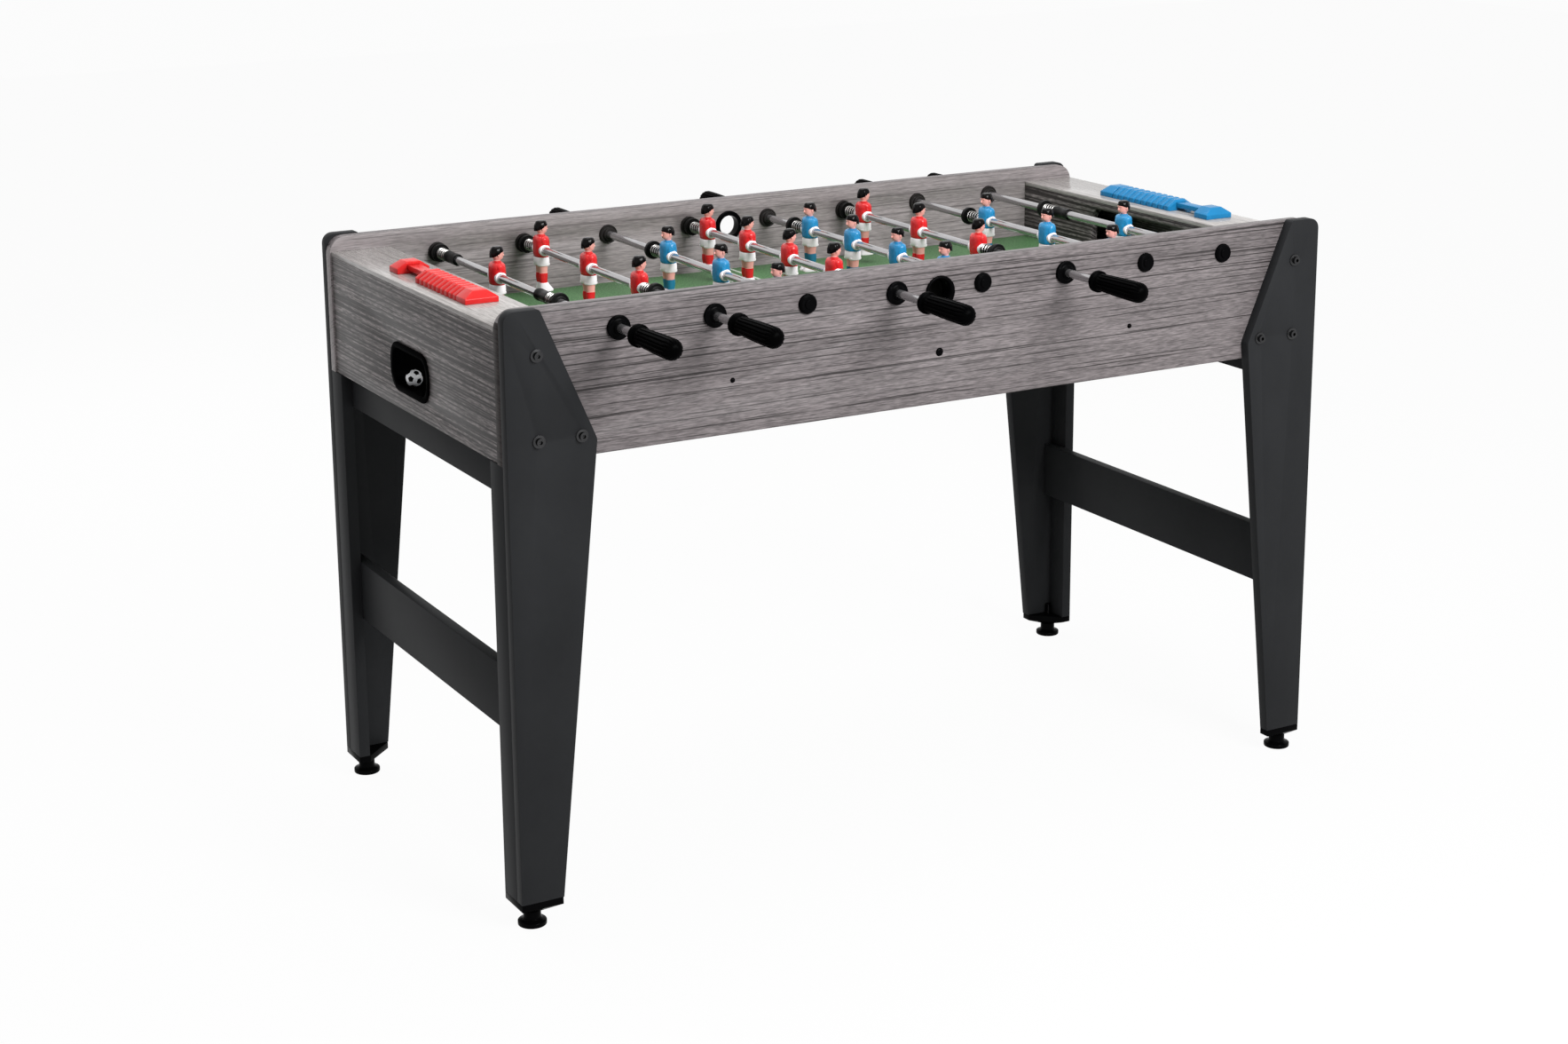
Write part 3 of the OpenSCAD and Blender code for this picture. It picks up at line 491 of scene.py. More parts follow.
# Side panels: lighter inside faces and back ends are painted light, dark front-panel ends are
# painted shade.
for side, out in (("front", -1), ("back", 1)):
    from_cad(f"side_panel_{side}", [GREY, GREY_PAINTED_LIGHT, GREY_PAINTED_SHADE], 0.6,
             pick=panel_face(out))
from_cad("end_panels", [GREY_Y], 0.5)
from_cad("goal_walls", [GREY_Y], 0.6)
from_cad("ledges", [LEDGE], 0.6)
from_cad("playfield", [TURF], 0.3)
from_cad("field_supports", [RAW, BLACK], 0.6,
         pick=lambda centre, normal: 1 if abs(centre.x) > GOAL_X else 0)
for leg in CORNERS:
    from_cad(f"leg_{leg}", [CHARCOAL], 0.7)
from_cad("end_rails", [CHARCOAL], 0.7)
from_cad("corner_caps", [BLACK], 0.7)
from_cad("return_cups", [BLACK_CUP], 0.5)
from_cad("leg_bolts", [STEEL], 0.3)


def markings():
    """White lines of the field, a hair above its surface."""
    s = Shape()
    z = FIELD_Z + 0.12 * MM
    half_line, end_gap = 0.0022, 0.003
    penalty_depth, penalty_half = 0.165, 0.145
    goal_depth, goal_half = 0.072, 0.105
    spot_depth, spot_r = 0.118, 0.0035
    arc_r, arc_angle = 0.075, 52
    circle_r, centre_r = 0.088, 0.005

    def strip(pts, closed=False):
        """A line of even width along the points."""
        n = len(pts)
        left, right = [], []
        for k, p in enumerate(pts):
            a = pts[k - 1] if k > 0 or closed else p
            b = pts[(k + 1) % n] if k < n - 1 or closed else p
            d = (Vector(b) - Vector(a)).normalized()
            side = Vector((-d.y, d.x)) * half_line
            left.append((p[0] + side.x, p[1] + side.y, z))
            right.append((p[0] - side.x, p[1] - side.y, z))
        last = n if closed else n - 1
        s.add(left + right, [(k, (k + 1) % n, n + (k + 1) % n, n + k) for k in range(last)])

    def dot(x, r, n):
        s.add([(x + r * cos(tau * k / n), r * sin(tau * k / n), z) for k in range(n)],
              [tuple(range(n))])

    strip([(0, end_gap - SIDE_IN), (0, SIDE_IN - end_gap)])
    strip(arc(0, 0, circle_r, 0, 352, 44), True)
    for e in (-1, 1):
        goal_line = GOAL_X - end_gap
        for depth, half in ((penalty_depth, penalty_half), (goal_depth, goal_half)):
            x = e * (GOAL_X - depth)
            strip([(e * goal_line, half), (x, half)])
            strip([(x, half), (x, -half)])
            strip([(x, -half), (e * goal_line, -half)])
        base = GOAL_X - penalty_depth
        flat = cos(radians(arc_angle))
        strip([(e * (base - arc_r * (cos(radians(a)) - flat)), arc_r * sin(radians(a)))
               for a in range(-arc_angle, arc_angle + 1, 8)])
        dot(e * (GOAL_X - spot_depth), spot_r, 16)
    dot(0, centre_r, 20)
    mesh = bpy.data.meshes.new("field_lines")
    mesh.from_pydata(s.v, [], s.f)
    finish_piece(mesh, "field_lines", [LINE], "cabinet", (), 30)


markings()

# ---------------------------------------------------------------- rods


def bearings():
    """Handle-side bearings and far-side caps: stepped discs with a hub round the tube."""
    s = Shape()
    bore, hub = BEARING_BORE, 9.0
    inner = [(bore, 0), (bore, 7.5), (bore + 0.6, 7.9)]
    inner += arc(hub - 0.9, 7.0, 0.9, 90, 0, 4) + [(hub + 0.3, 5.2)]
    inner += arc(hub + 1.3, 5.2, 0.9, 180, 270, 4) + [(11.6, 4.2)]
    inner += arc(12.2, 3.9, 0.9, 60, 0, 3) + [(13.3, 3.0), (13.5, 1.6), (13.5, 0)]
    outer = [(bore, 0), (bore, 7.6)] + arc(7.2, 7.2, 0.8, 90, 10, 4)
    outer += [(8.6, 5.6), (9.8, 4.4), (12.2, 3.8)] + arc(13.7, 3.0, 1.3, 80, 0, 5)
    outer += [(15.0, 1.2), (15.0, 0)]
    cap = [(0, 6.2), (2.6, 6.3), (4.6, 6.2)] + arc(5.2, 5.7, 0.6, 80, 10, 3)
    cap += [(6.1, 4.9), (7.0, 4.7), (8.4, 5.2)] + arc(9.9, 4.4, 1.0, 110, 20, 4)
    cap += [(11.9, 3.4), (12.65, 2.2), (12.75, 0)]
    low, high = -0.5, PANEL / MM + 0.5
    sleeve = [(bore, low), (8.9, low), (8.9, high), (bore, high)]
    for x, side in zip(ROD_X, TEAM):
        # Material 1 on the inner bearings at both panels is the lighter black copy: painted light.
        s.lathe(scaled(inner), 1, xf=axis_y(x, side * SIDE_IN, ROD_Z, -side))
        s.lathe(scaled(outer), xf=axis_y(x, side * SIDE_OUT, ROD_Z, side))
        s.lathe(scaled(sleeve), xf=axis_y(x, side * SIDE_IN, ROD_Z, side), closed=True, segs=32)
        s.lathe(scaled(inner), 1, xf=axis_y(x, -side * SIDE_IN, ROD_Z, side))
        s.lathe(scaled(cap), xf=axis_y(x, -side * SIDE_OUT, ROD_Z, -side))
    s.build("bearings", [BLACK, BLACK_PAINTED_LIGHT], "cabinet", ("rod_bearings",), sharp=38)


bearings()


def tube(i):
    """Chromed tube of rod i, open and chamfered at both ends."""
    lo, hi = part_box(f"rod_{i}")
    s = Shape()
    r, bore, n = TUBE_R, TUBE_BORE, (hi.y - lo.y) / MM
    profile = [(bore, 0.3), (r - 0.6, 0), (r, 0.6), (r, n * 0.33), (r, n * 0.66), (r, n - 0.6),
               (r - 0.6, n), (bore, n - 0.3)]
    s.lathe(scaled(profile), xf=axis_y(ROD_X[i - 1], lo.y, ROD_Z), closed=True)
    s.build(f"tube_{i}", [CHROME], f"spin_{i}", (f"rod_{i}",), sharp=40)


def grip(i):
    """Fluted grip: flange, waist, then a slightly swelling fluted body with a round end."""
    lo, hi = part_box(f"handle_{i}")
    side = TEAM[i - 1]
    length = (hi.y - lo.y) / MM
    xf = axis_y(ROD_X[i - 1], lo.y if side > 0 else hi.y, ROD_Z, side)
    s = Shape()
    flange = [(0, 0.6), (5.7, 0.6), (12.6, 0)] + arc(12.7, 1.3, 1.3, -90, 0, 4)
    flange += arc(12.7, 5.7, 1.3, 0, 80, 4) + [(11.6, 7.3), (11.0, 8.4), (10.9, 10.2), (11.1, 11.6)]
    s.lathe(scaled(flange), xf=xf, segs=56)
    flutes, per = 16, 8
    n = flutes * per
    waist_end, end_r, slim_r, swell = 12.4, 11.0, 11.35, 1.75
    dome = length - end_r
    rings = []
    zs = [11.6, 12.4, 13.4, 15, 18, 24, 34, 46, 58, 70, 78, 83]
    zs += [dome + end_r * sin(radians(a)) for a in (0, 14, 28, 42, 54, 64, 73, 80, 86)]
    for z in zs:
        u = min(max((z - 12) / (length - 26), 0), 1)
        r = slim_r + swell * sin(u * pi * 0.56) ** 1.2
        k = (z - dome) / end_r
        if k > 0:
            r *= sqrt(max(0.0, 1 - k * k)) * 0.97 + 0.03
        depth = 1.3 * min(1, max(0, (z - waist_end) / 3)) * (1 if k <= 0 else max(0, 1 - 0.85 * k))
        ring = []
        for j in range(n):
            a = tau * j / n
            w = abs(((j / per) % 1) - 0.5) * 2
            groove = max(0, 1 - (1 - w) * 2.4) ** 0.7 if w > 0.58 else 0
            out = r - depth * groove
            ring.append((out * MM * cos(a), out * MM * sin(a), z * MM))
        rings.append(ring)
    s.loft(rings, caps=(False, True), xf=xf)
    s.build(f"grip_{i}", [RUBBER], f"spin_{i}", (f"handle_{i}",), sharp=50)


def bumper_set(i):
    """Disc, and coil spring round a thin core, at each end of the men. Goalkeepers' rods also
    have a sleeve."""
    lo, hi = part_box(f"bumpers_{i}")
    s = Shape()
    goalie = PLAYERS[i - 1] == 1
    disc_t, coil, turns, sleeve = 8.0, 27.0, 3.9, 34.0
    if goalie:
        coil, turns = 24.0, 3.4
    coil_r, wire, core_r, bore = 7.3 * MM, 1.75 * MM, 6.3, BUMPER_BORE
    disc = [(bore, 0.4), (6.4, 0), (8.6, 0), (9.0, 1.2), (10.2, 1.4)]
    disc += arc(11.5, 1.9, 1.0, -70, 0, 3) + [(12.5, 3.2), (12.5, 5.4)]
    disc += arc(11.4, 6.3, 1.1, 0, 80, 3)
    disc += [(10.0, 7.0), (9.2, 6.7), (8.4, 7.6), (7.4, disc_t), (bore, disc_t)]
    core = [(bore, 0.2), (core_r, 0.2), (core_r, coil), (bore, coil)]
    long_sleeve = [(bore, 0), (7.4, 0), (8.0, 0.6), (8.0, 9), (7.7, 9.6), (7.7, 24.4), (8.0, 25),
                   (8.0, sleeve - 0.6), (7.4, sleeve), (bore, sleeve)]
    for end in (-1, 1):
        face = hi.y if end > 0 else lo.y
        x = ROD_X[i - 1]
        s.lathe(scaled(disc), 0, xf=axis_y(x, face - end * disc_t * MM, ROD_Z, end), closed=True)
        base = face - end * (disc_t + coil) * MM
        s.helix(coil_r, wire, coil * MM, turns, 1, xf=axis_y(x, base, ROD_Z, end))
        s.lathe(scaled(core), 0, xf=axis_y(x, base, ROD_Z, end), closed=True)
        if goalie:
            s.lathe(scaled(long_sleeve), 0, xf=axis_y(x, base - end * sleeve * MM, ROD_Z, end),
                    closed=True)
    s.build(f"bumper_set_{i}", [DISC, SPRING], f"slide_{i}", (f"bumpers_{i}",),
            sharp=36)


# ---------------------------------------------------------------- players


def man_shape():
    """One player facing +X, hung from the rod axis at the origin, millimetres above or below it.
    Materials: 0 hair, 1 skin, 2 shirt, 3 white, 4 socks."""
    s = Shape()
    hair, skin, shirt, white, sock = range(5)

    def oval(cx, cy, z, rx, ry, n, power):
        ring = []
        for j in range(n):
            c, d = cos(tau * j / n), sin(tau * j / n)
            k = (abs(c) ** power + abs(d) ** power) ** (-1 / power)
            ring.append(((cx + rx * c * k) * MM, (cy + ry * d * k) * MM, z * MM))
        return ring

    def stack(mat, sections, n, y=0, power=2.0, caps=(True, True)):
        """A loft through superellipses, each (height, centre x, half depth, half width)."""
        s.loft([oval(x, y, z, rx, ry, n, power) for z, x, rx, ry in sections], mat, caps)

    # head: neck, jaw, face and back of the skull
    stack(skin, [(19.5, 0.2, 4.2, 4.4), (22.0, 0.6, 4.5, 4.6), (22.8, 1.6, 5.2, 4.8),
                 (24.0, 1.9, 6.4, 5.6), (26.2, 1.2, 7.6, 6.5), (29.0, 0.8, 8.2, 7.0),
                 (32.0, 0.5, 8.3, 7.2), (34.6, 0.2, 7.6, 6.8), (36.6, 0.0, 6.0, 5.4),
                 (37.8, -0.2, 3.2, 3.0)], 32)
    # nose, brow, chin and ears
    stack(skin, [(26.6, 8.6, 0.5, 1.2), (27.3, 9.4, 1.3, 1.4), (28.4, 9.3, 1.2, 1.15),
                 (30.0, 8.8, 0.8, 0.8), (31.4, 8.4, 0.4, 0.5)], 12)
    stack(skin, [(31.0, 7.2, 1.6, 4.8), (31.9, 7.5, 1.7, 5.1), (32.8, 7.1, 1.5, 4.8)], 20)
    stack(skin, [(22.8, 5.6, 1.2, 1.8), (23.7, 6.3, 1.7, 2.4), (25.0, 6.3, 1.6, 2.2),
                 (25.8, 5.8, 1.0, 1.4)], 16)
    for side in (-1, 1):
        stack(skin, [(26.6, 0.3, 0.6, 0.5), (27.5, 0.1, 1.2, 0.9), (29.0, -0.1, 1.6, 1.1),
                     (30.4, 0.0, 1.4, 1.0), (31.2, 0.1, 0.7, 0.5)], 12, side * 7.2)
    # hair: a thick moulded cap that stands over the forehead, low at the sides and nape
    n, levels, crown = 44, 10, 40.0
    rings = []
    for k in range(levels + 1):
        u = k / levels
        grow = max(cos(u * pi / 2) ** 0.42 if u < 1 else 0.0, 0.02)
        ring = []
        for j in range(n):
            a = tau * j / n
            c, d = cos(a), sin(a)
            base = 29.8 + 3.8 * max(0.0, c) ** 0.6 - 3.8 * max(0.0, -c) ** 0.8
            z = base + (crown - base) * sin(u * pi / 2) ** 0.9
            wave = 1 + 0.03 * sin(7 * a + 5 * u) + 0.02 * sin(12 * a - 3 * u)
            lip = 1 + 0.06 * sin(min(u * 5, 1) * pi) * max(0.0, c)
            ring.append(((0.1 + 9.1 * c * grow * wave * lip) * MM, 8.1 * d * grow * wave * MM,
                         z * MM))
        rings.append(ring)
    under = [(x * 0.82, y * 0.82, z + 0.8 * MM) for x, y, z in rings[0]]
    s.loft([under] + rings, hair)
    # shirt: collar, torso, and sleeves held against the sides
    stack(shirt, [(17.8, 0.4, 6.8, 7.4), (19.4, 0.4, 6.2, 6.6), (20.8, 0.4, 5.4, 5.6),
                  (21.2, 0.4, 4.6, 4.8)], 24)
    torso = [(-10.2, 8.8, 11.6), (-9.4, 9.7, 12.3), (-6, 10.2, 12.6), (-1, 10.5, 12.8),
             (4, 10.5, 13.0), (9, 10.3, 13.2), (13, 10.0, 13.4), (16, 9.2, 13.2), (18, 7.9, 12.0),
             (19.2, 6.2, 9.6), (19.9, 4.6, 6.6)]
    stack(shirt, [(z, 0.3, rx, ry) for z, rx, ry in torso], 36, power=2.5)
    arm = [(18.9, 0.0, 12.0, 2.2, 1.8), (18.0, 0.0, 12.2, 4.2, 3.2), (15.4, 0.2, 12.7, 5.5, 3.7),
           (12.0, 0.7, 12.8, 5.7, 3.7), (8.4, 1.4, 12.8, 5.4, 3.6), (5.0, 2.2, 12.6, 4.8, 3.4),
           (3.2, 2.6, 12.4, 3.9, 2.9), (2.6, 2.7, 12.2, 2.6, 1.9)]
    tuck = 1.9
    for side in (-1, 1):
        s.loft([oval(cx, side * (cy - tuck), z, rx, ry, 22, 2.0) for z, cx, cy, rx, ry in arm],
               shirt)
    # white rings round the rod at both sides of the shirt
    ring = [(RING_BORE, 9.5), (RING_BORE, 14.3), (6.0, 14.5), (7.0, 14.5), (7.7, 14.1),
            (8.0, 13.2), (8.1, 9.5)]
    for side in (-1, 1):
        s.lathe(scaled(ring), white, 36, axis_y(0, 0, 0, side), closed=True)
    # shorts with their hems, thighs, socks and boots
    stack(white, [(-8.0, 0, 8.0, 11.0), (-9.8, 0, 9.2, 11.8), (-12, 0, 9.7, 12.3),
                  (-16, 0, 9.8, 12.6), (-19.2, 0, 9.6, 12.6), (-20.2, 0, 9.2, 12.2)], 36,
          power=2.6, caps=(True, False))
    for side in (-1, 1):
        stack(white, [(-19.4, 0, 9.3, 6.1), (-21.2, 0, 9.0, 6.0), (-22.0, 0, 8.3, 5.4),
                      (-21.2, 0, 7.2, 4.6)], 26, side * 6.2, 2.4)
        stack(skin, [(-19, 0, 6.7, 5.2), (-24, 0, 6.6, 5.1), (-28, 0.1, 6.1, 4.9),
                     (-31.4, 0.2, 5.9, 4.8), (-33.4, 0.1, 5.7, 4.7)], 24, side * 4.5, 2.3)
        stack(sock, [(-32.4, 0, 5.6, 4.6), (-32.7, 0, 6.2, 5.0), (-34.2, -0.1, 6.3, 5.1),
                     (-38, -0.4, 6.3, 5.2), (-42, -0.3, 5.8, 5.0), (-45.5, 0, 5.4, 4.8),
                     (-48, 0.2, 5.4, 4.8)], 24, side * 4.6, 2.3)
        stack(white, [(-45.6, 0.2, 5.8, 5.0), (-46.6, 0.4, 6.4, 5.3), (-49.4, 1.2, 7.4, 5.4),
                      (-52.4, 2.2, 8.9, 5.5), (-55.4, 3.2, 10.5, 5.5), (-57.2, 3.2, 10.8, 5.4),
                      (-58.0, 3.1, 10.3, 5.1)], 28, side * 5.1, 2.6)
    return s


MAN = man_shape()


def men(i):
    """The players of rod i: red ones face +X, blue ones -X."""
    lo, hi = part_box(f"men_{i}")
    n = PLAYERS[i - 1]
    red = TEAM[i - 1] < 0
    first, last = lo.y + MAN_W / 2, hi.y - MAN_W / 2
    turn = Matrix.Rotation(0 if red else pi, 4, "Z")
    s = Shape()
    for k in range(n):
        y = first + (last - first) * k / max(1, n - 1)
        xf = Matrix.Translation((ROD_X[i - 1], y, ROD_Z)) @ turn
        base = len(s.v)
        s.v += [tuple(xf @ Vector(p)) for p in MAN.v]
        s.f += [tuple(base + q for q in f) for f in MAN.f]
        s.m += MAN.m
    mesh = bpy.data.meshes.new(f"players_{i}")
    mesh.from_pydata(s.v, [], s.f)
    mats = [HAIR, SKIN, RED if red else BLUE, WHITE, RED if red else SOCK_BLUE]
    mesh.polygons.foreach_set("material_index", s.m)
    finish_piece(mesh, f"players_{i}", mats, f"spin_{i}", (f"men_{i}",),
                 48)


for i in range(1, 9):
    tube(i)
    grip(i)
    bumper_set(i)
    men(i)

# ---------------------------------------------------------------- cups, ball, scorers, feet


def serve_cups():
    """Ring through each side panel, and a hood inside the front one."""
    s = Shape()
    lo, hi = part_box("serve_cups")
    rim = hi.x / MM
    z = hi.z - hi.x
    depth = PANEL / MM
    r = rim - 6.5
    bell = [(r, -2.9), (rim - 2, -3.0)] + arc(rim - 1.3, -1.8, 1.2, -80, 0, 4)
    bell += [(rim, -0.1), (r + 2.2, -0.1), (r + 2.2, depth + 0.1), (rim, depth + 0.1)]
    bell += arc(rim - 1.3, depth + 1.7, 1.3, 0, 90, 4)
    bell += [(rim - 2.2, depth + 2.7), (rim - 3.4, depth + 1.6), (r + 1.6, depth - 0.6),
             (r + 0.5, depth - 3), (r, depth - 6)]
    for side in (-1, 1):
        s.lathe(scaled(bell), xf=axis_y(0, side * SIDE_IN, z, side), closed=True, segs=72)
    outer, straight = r + 2.4, 10
    low, top = lo.z - z, outer * MM
    n = 24

    def level(q, h):
        """Outline of the hood at one height: straight sides and a half circle of radius q."""
        bow = [(-q * cos(pi * k / n), straight + q * sin(pi * k / n)) for k in range(n + 1)]
        return [(x * MM, y * MM - SIDE_IN, z + h) for x, y in [(-q, 0)] + bow + [(q, 0)]]

    # Four rings of k points go up the outside and three up the inside, then come the faces of
    # both walls, the rim below, both roofs and the two ends against the panel.
    rings = [level(outer, low), level(outer, top - 0.002), level(outer - 0.6, top - 0.0006),
             level(outer - 2, top)]
    inside = [level(r, low), level(r, top - 0.0034), level(r - 1, top - 0.0024)]
    k = n + 3
    verts = [p for ring in rings + inside for p in ring]
    faces = [(a * k + j, a * k + j + 1, (a + 1) * k + j + 1, (a + 1) * k + j)
             for a in (0, 1, 2, 4, 5) for j in range(k - 1)]
    faces += [(j, j + 1, 4 * k + j + 1, 4 * k + j) for j in range(k - 1)]
    faces += [tuple(range(3 * k, 4 * k)), tuple(range(6 * k, 7 * k))]
    for e in (0, k - 1):
        faces += [(e, k + e, 5 * k + e, 4 * k + e),
                  (k + e, 2 * k + e, 3 * k + e, 6 * k + e, 5 * k + e)]
    faces.append((3 * k, 4 * k - 1, 7 * k - 1, 6 * k))
    # The hood takes the lighter black copy: a painted reflection on its inside.
    s.add(verts, faces, 1)
    s.build("serve_rings", [BLACK, BLACK_PAINTED_LIGHT], "cabinet", ("serve_cups",), sharp=40)


serve_cups()


def ball():
    """White ball with twelve black pentagons."""
    lo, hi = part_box("ball")
    centre, r = (lo + hi) / 2, (hi.z - lo.z) / 2
    pentagon = 0.30  # how far each reaches from its middle to its sides on a ball of radius 1
    inside = 0.999  # share of the CAD ball's radius
    mesh = bpy.data.meshes.new("football")
    bm = bmesh.new()
    bmesh.ops.create_icosphere(bm, subdivisions=6, radius=1)
    golden = (1 + sqrt(5)) / 2
    spin = Euler((radians(-78.7), radians(68.1), radians(-65.1))).to_matrix()
    middles = [spin @ Vector(p).normalized() for a in (-1, 1) for b in (-golden, golden)
               for p in ((0, a, b), (a, b, 0), (b, 0, a))]

    def sideways(d, c):
        return d - c * d.dot(c)

    toward = []
    for c in middles:
        near = sorted(middles, key=lambda o, c=c: -c.dot(o))[1:6]
        toward.append([sideways(o, c).normalized() for o in near])
    for f in bm.faces:
        d = f.calc_center_median().normalized()
        k = max(range(12), key=lambda q: d.dot(middles[q]))
        off = sideways(d, middles[k])
        f.material_index = 1 if max(off.dot(w) for w in toward[k]) < pentagon else 0
    for v in bm.verts:
        v.co = centre + v.co.normalized() * r * inside
    bm.to_mesh(mesh)
    bm.free()
    finish_piece(mesh, "football", [BALL, BLACK], "ball", ("ball",), 60)


ball()


def score_blocks(place, colour, mat):
    """Ten counting blocks with sloping ends, each with a tunnel for the rail."""
    lo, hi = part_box(f"score_blocks_{place}")
    blocks, gap = 10, 0.3 * MM
    pitch = (hi.y - lo.y + gap) / blocks
    cx, half, high = (lo.x + hi.x) / 2, (hi.x - lo.x) / 2, hi.z - lo.z
    tunnel_w, tunnel_low, tunnel_top = 8.3 * MM, 3.65 * MM, 11.25 * MM
    tunnel = [(tunnel_w, tunnel_low), (tunnel_w, 0.006), (tunnel_w, 0.0085),
              (tunnel_w, tunnel_top), (tunnel_w * 0.5, tunnel_top)]

    def block_side(d):
        """One half of a block's outline, drawn in by d."""
        return [(half - 0.6 * d, 0), (half - 0.8 * d, 0.0062 - 0.4 * d),
                (half - 0.0009 - 0.8 * d, 0.0073 - 0.4 * d),
                (half * 0.44 - 0.4 * d, high - 0.0007 - d), (half * 0.40 - 0.4 * d, high - d)]

    s = Shape()
    for k in range(blocks):
        y0 = lo.y + k * pitch
        y1 = y0 + pitch - gap
        rings, holes = [], []
        ends = ((0, 3.0), (0.0022, 0.7), (0.0030, 0.15), (0.0040, 0))
        slices = [(y0 + y, d) for y, d in ends] + [(y1 - y, d) for y, d in reversed(ends)]
        for y, d in slices:
            for ring, pts in ((rings, block_side(d * MM)), (holes, tunnel)):
                ring.append([(cx + x, y, lo.z + z) for x, z in pts] +
                            [(cx - x, y, lo.z + z) for x, z in reversed(pts)])
        s.loft(rings, caps=(False, False))
        s.loft([holes[0], holes[-1]], caps=(False, False))
        n = len(rings[0])
        for a, b in ((rings[0], holes[0]), (rings[-1], holes[-1])):
            s.add(a + b, [(j, (j + 1) % n, n + (j + 1) % n, n + j) for j in range(n)])
    s.build(f"counting_blocks_{place}", [mat], f"blocks_{place}", (f"score_blocks_{place}",),
            sharp=28)


for place, colour, mat in (("left", "red", SCORE_RED), ("right", "blue", SCORE_BLUE)):
    from_cad(f"scorer_rail_{place}", [mat], 1.3, segs=3)
    score_blocks(place, colour, mat)


def screws():
    """Panel screws: domed heads on both side panels, with a plain shank."""
    s = Shape()
    lo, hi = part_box("panel_screws")
    z = (lo.z + hi.z) / 2
    small, large, shank_r, shank = 3.25, 5.5, 2, 44
    for x, r in ((lo.x + small * MM, small), (0, large), (hi.x - small * MM, small)):
        head = [(0, 2.1), (r * 0.35, 2.05), (r * 0.7, 1.6), (r * 0.93, 0.8), (r, 0)]
        for side in (-1, 1):
            xf = axis_y(x, side * SIDE_OUT, z, side)
            s.lathe(scaled(head), xf=xf, segs=28)
            s.lathe(scaled([(shank_r, -shank), (shank_r, 0)]), xf=xf, segs=16)
    s.build("screw_heads", [BLACK], "cabinet", ("panel_screws",))


screws()


def foot(corner):
    """Levelling foot: round pad, collar and threaded stem."""
    node = f"foot_{corner}"
    lo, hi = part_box(node)
    root, crest, thread_pitch, thread_start = 3.55, 4.0, 1.7, 20
    profile = [(0, 0), (16.4, 0)] + arc(16.6, 1.4, 1.4, -90, 0, 4) + [(18, 4.6)]
    profile += arc(16.8, 4.9, 1.2, 0, 60, 3)
    profile += [(14.6, 6.9), (11.9, 7.7), (11.0, 8.8), (11.0, 17.6)]
    profile += arc(9.8, 18.3, 1.2, 0, 90, 3) + [(crest, 19.6)]
    for k in range(18):
        h = thread_start + k * thread_pitch
        profile += [(crest, h), (root, h + thread_pitch / 2)]
    profile += [(3.4, 50.6), (0, 51)]
    s = Shape()
    middle = ((lo.x + hi.x) / 2, (lo.y + hi.y) / 2, lo.z)
    s.lathe(scaled(profile), xf=Matrix.Translation(middle), segs=56)
    s.build(f"levelling_{corner}", [BLACK], node, (node,), sharp=36)


for corner in CORNERS:
    foot(corner)

inner_rods = NODES["inner_rods"].data.materials
inner_rods.clear()
inner_rods.append(CHROME)

# ---------------------------------------------------------------- stage

floor_mesh = bpy.data.meshes.new("studio_floor")
reach, grid, below = 9.0, 24, 0.3 * MM
row = grid + 1
pts = [(-reach + 2 * reach * a / grid, -reach + 2 * reach * b / grid, -below)
       for b, a in product(range(row), repeat=2)]
quads = [(b * row + a, b * row + a + 1, (b + 1) * row + a + 1, (b + 1) * row + a)
         for b, a in product(range(grid), repeat=2)]
floor_mesh.from_pydata(pts, [], quads)
floor = bpy.data.objects.new("studio_floor", floor_mesh)
bpy.context.scene.collection.objects.link(floor)
fm = Mat("studio_paper", (0.60, 0.60, 0.60), 0.9, spec=0.2)
fm.base(fm.ramp(fm.noise((6, 6, 6), 4, 0.6), [(0.3, 0.595), (0.7, 0.61)]))


def shows_white(tree, share):
    """How much of a surface or sky is plain white where the camera or a reflection sees it."""
    path = tree.nodes.new("ShaderNodeLightPath")
    total = path.outputs["Is Camera Ray"]
    for ray in ("Is Glossy Ray", "Is Transmission Ray"):
        add = tree.nodes.new("ShaderNodeMath")
        add.operation = "ADD"
        add.use_clamp = True
        tree.links.new(total, add.inputs[0])
        tree.links.new(path.outputs[ray], add.inputs[1])
        total = add.outputs[0]
    times = tree.nodes.new("ShaderNodeMath")
    times.operation = "MULTIPLY"
    times.inputs[1].default_value = share
    tree.links.new(total, times.inputs[0])
    return times.outputs[0]


def blend(tree, fac, a, b, target):
    """Mixes two shaders into the target socket."""
    mixer = tree.nodes.new("ShaderNodeMixShader")
    tree.links.new(fac, mixer.inputs["Fac"])
    tree.links.new(a, mixer.inputs[1])
    tree.links.new(b, mixer.inputs[2])
    tree.links.new(mixer.outputs[0], target)


white = fm.node("Emission", Strength=1.0)
blend(fm.nt, shows_white(fm.nt, 0.95), fm.b.outputs[0], white.outputs[0],
      fm.nt.nodes["Material Output"].inputs["Surface"])
floor_mesh.materials.append(fm.m)

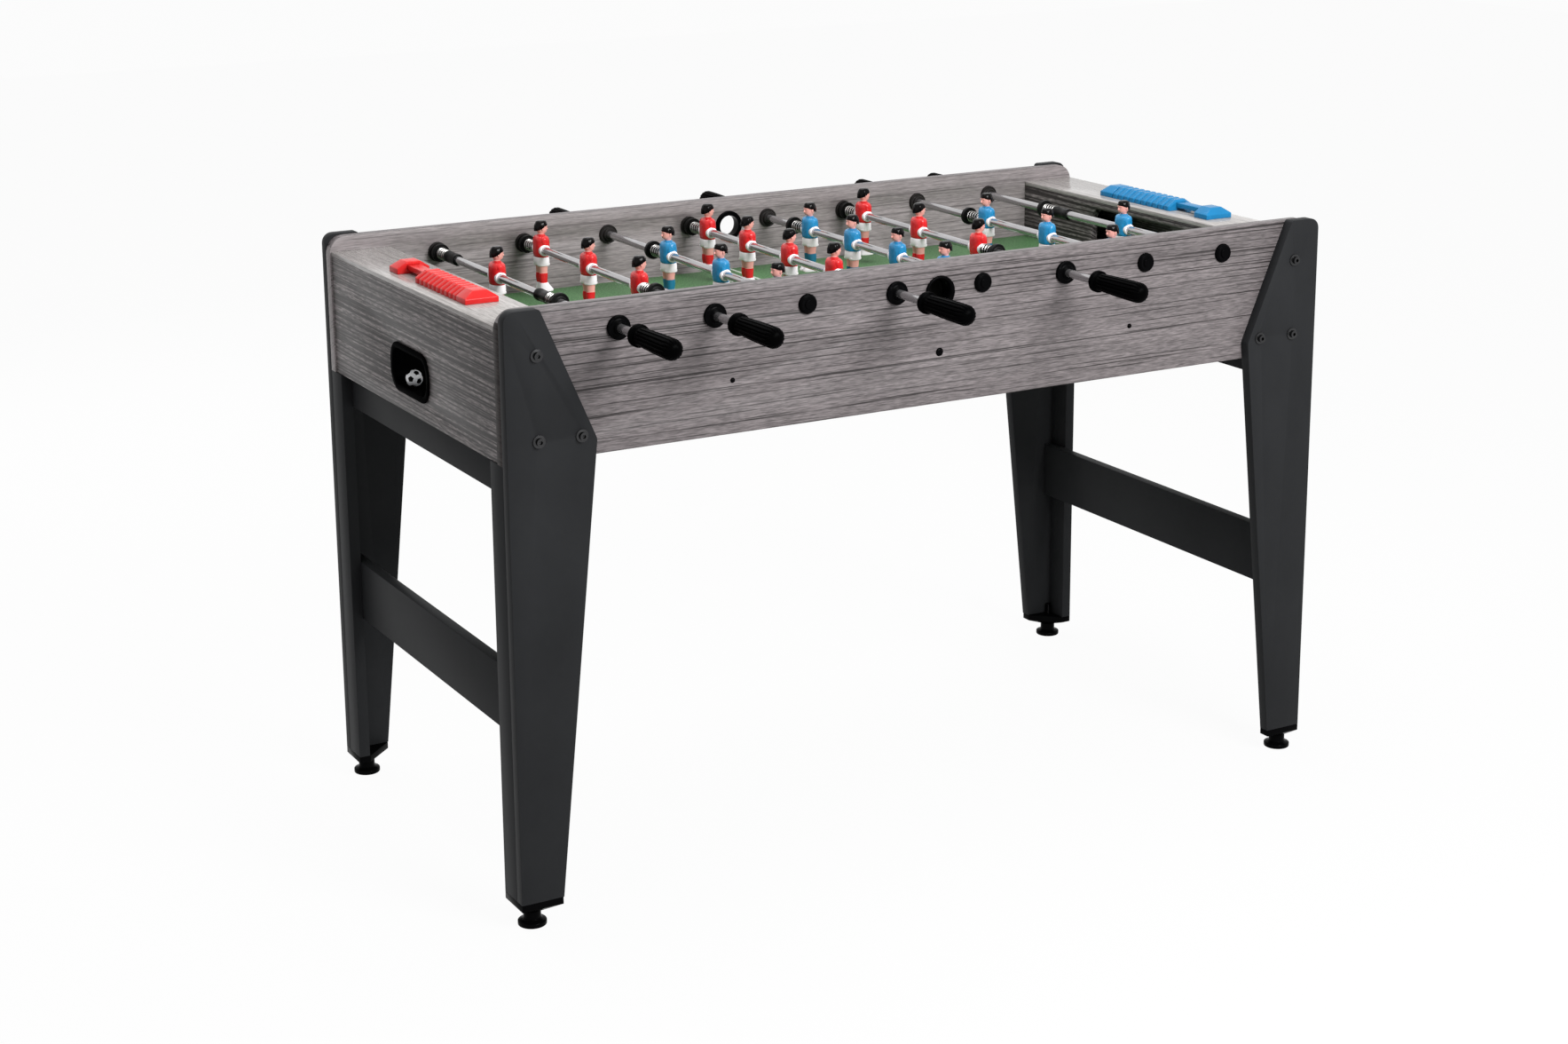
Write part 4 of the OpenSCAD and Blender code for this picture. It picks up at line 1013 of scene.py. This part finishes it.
world = bpy.data.worlds.new("studio")
bpy.context.scene.world = world
world.use_nodes = True
wn = world.node_tree
wn.nodes.clear()
out = wn.nodes.new("ShaderNodeOutputWorld")
seen = wn.nodes.new("ShaderNodeBackground")
lit = wn.nodes.new("ShaderNodeBackground")
for back, strength in ((seen, 0.97), (lit, 0.40)):
    back.inputs["Color"].default_value = (1, 1, 1, 1)
    back.inputs["Strength"].default_value = strength
blend(wn, shows_white(wn, 1.0), lit.outputs[0], seen.outputs[0], out.inputs["Surface"])


def area(name, place, target, size, power):
    """A soft box at a place, turned to a target."""
    light = bpy.data.lights.new(name, "AREA")
    light.shape = "RECTANGLE"
    light.size, light.size_y = size
    light.energy = power
    ob = bpy.data.objects.new(name, light)
    bpy.context.scene.collection.objects.link(ob)
    ob.location = place
    ob.rotation_mode = "QUATERNION"
    ob.rotation_quaternion = (Vector(target) - Vector(place)).to_track_quat("-Z", "Y")
    return ob


area("key_softbox", (0.4, -2.3, 1.95), (0, 0, 0.55), (1.2, 0.9), 82)
area("top_softbox", (-0.2, 0.5, 3.2), (0, 0, 0.5), (2.4, 2.2), 58)
area("back_softbox", (-0.5, 2.8, 1.7), (0, 0, 0.55), (1.6, 1.2), 26).visible_glossy = False

# ---------------------------------------------------------------- camera

CAM = (-1.746509, -3.001285, 1.385947)
YAW, PITCH, ROLL = -29.272, -13.701, -0.434  # degrees
SENSOR, LENS = 36, 59.53249  # mm
SHIFT_Y = -0.08375778  # as a share of the width: the photograph is cropped off centre

cam_data = bpy.data.cameras.new("camera")
cam = bpy.data.objects.new("camera", cam_data)
bpy.context.scene.collection.objects.link(cam)
bpy.context.scene.camera = cam
cam_data.sensor_width = SENSOR
cam_data.lens = LENS
cam_data.shift_y = SHIFT_Y
cam_data.clip_end = 60
yaw, pitch, roll = map(radians, (YAW, PITCH, ROLL))
ahead = Vector((-sin(yaw) * cos(pitch), cos(yaw) * cos(pitch), sin(pitch)))
right = Vector((cos(yaw), sin(yaw), 0))
up = right.cross(ahead)
right, up = right * cos(roll) + up * sin(roll), up * cos(roll) - right * sin(roll)
turn = Matrix((right, up, -ahead)).transposed().to_4x4()
cam.matrix_world = Matrix.Translation(CAM) @ turn

bpy.context.scene.view_settings.view_transform = "Standard"
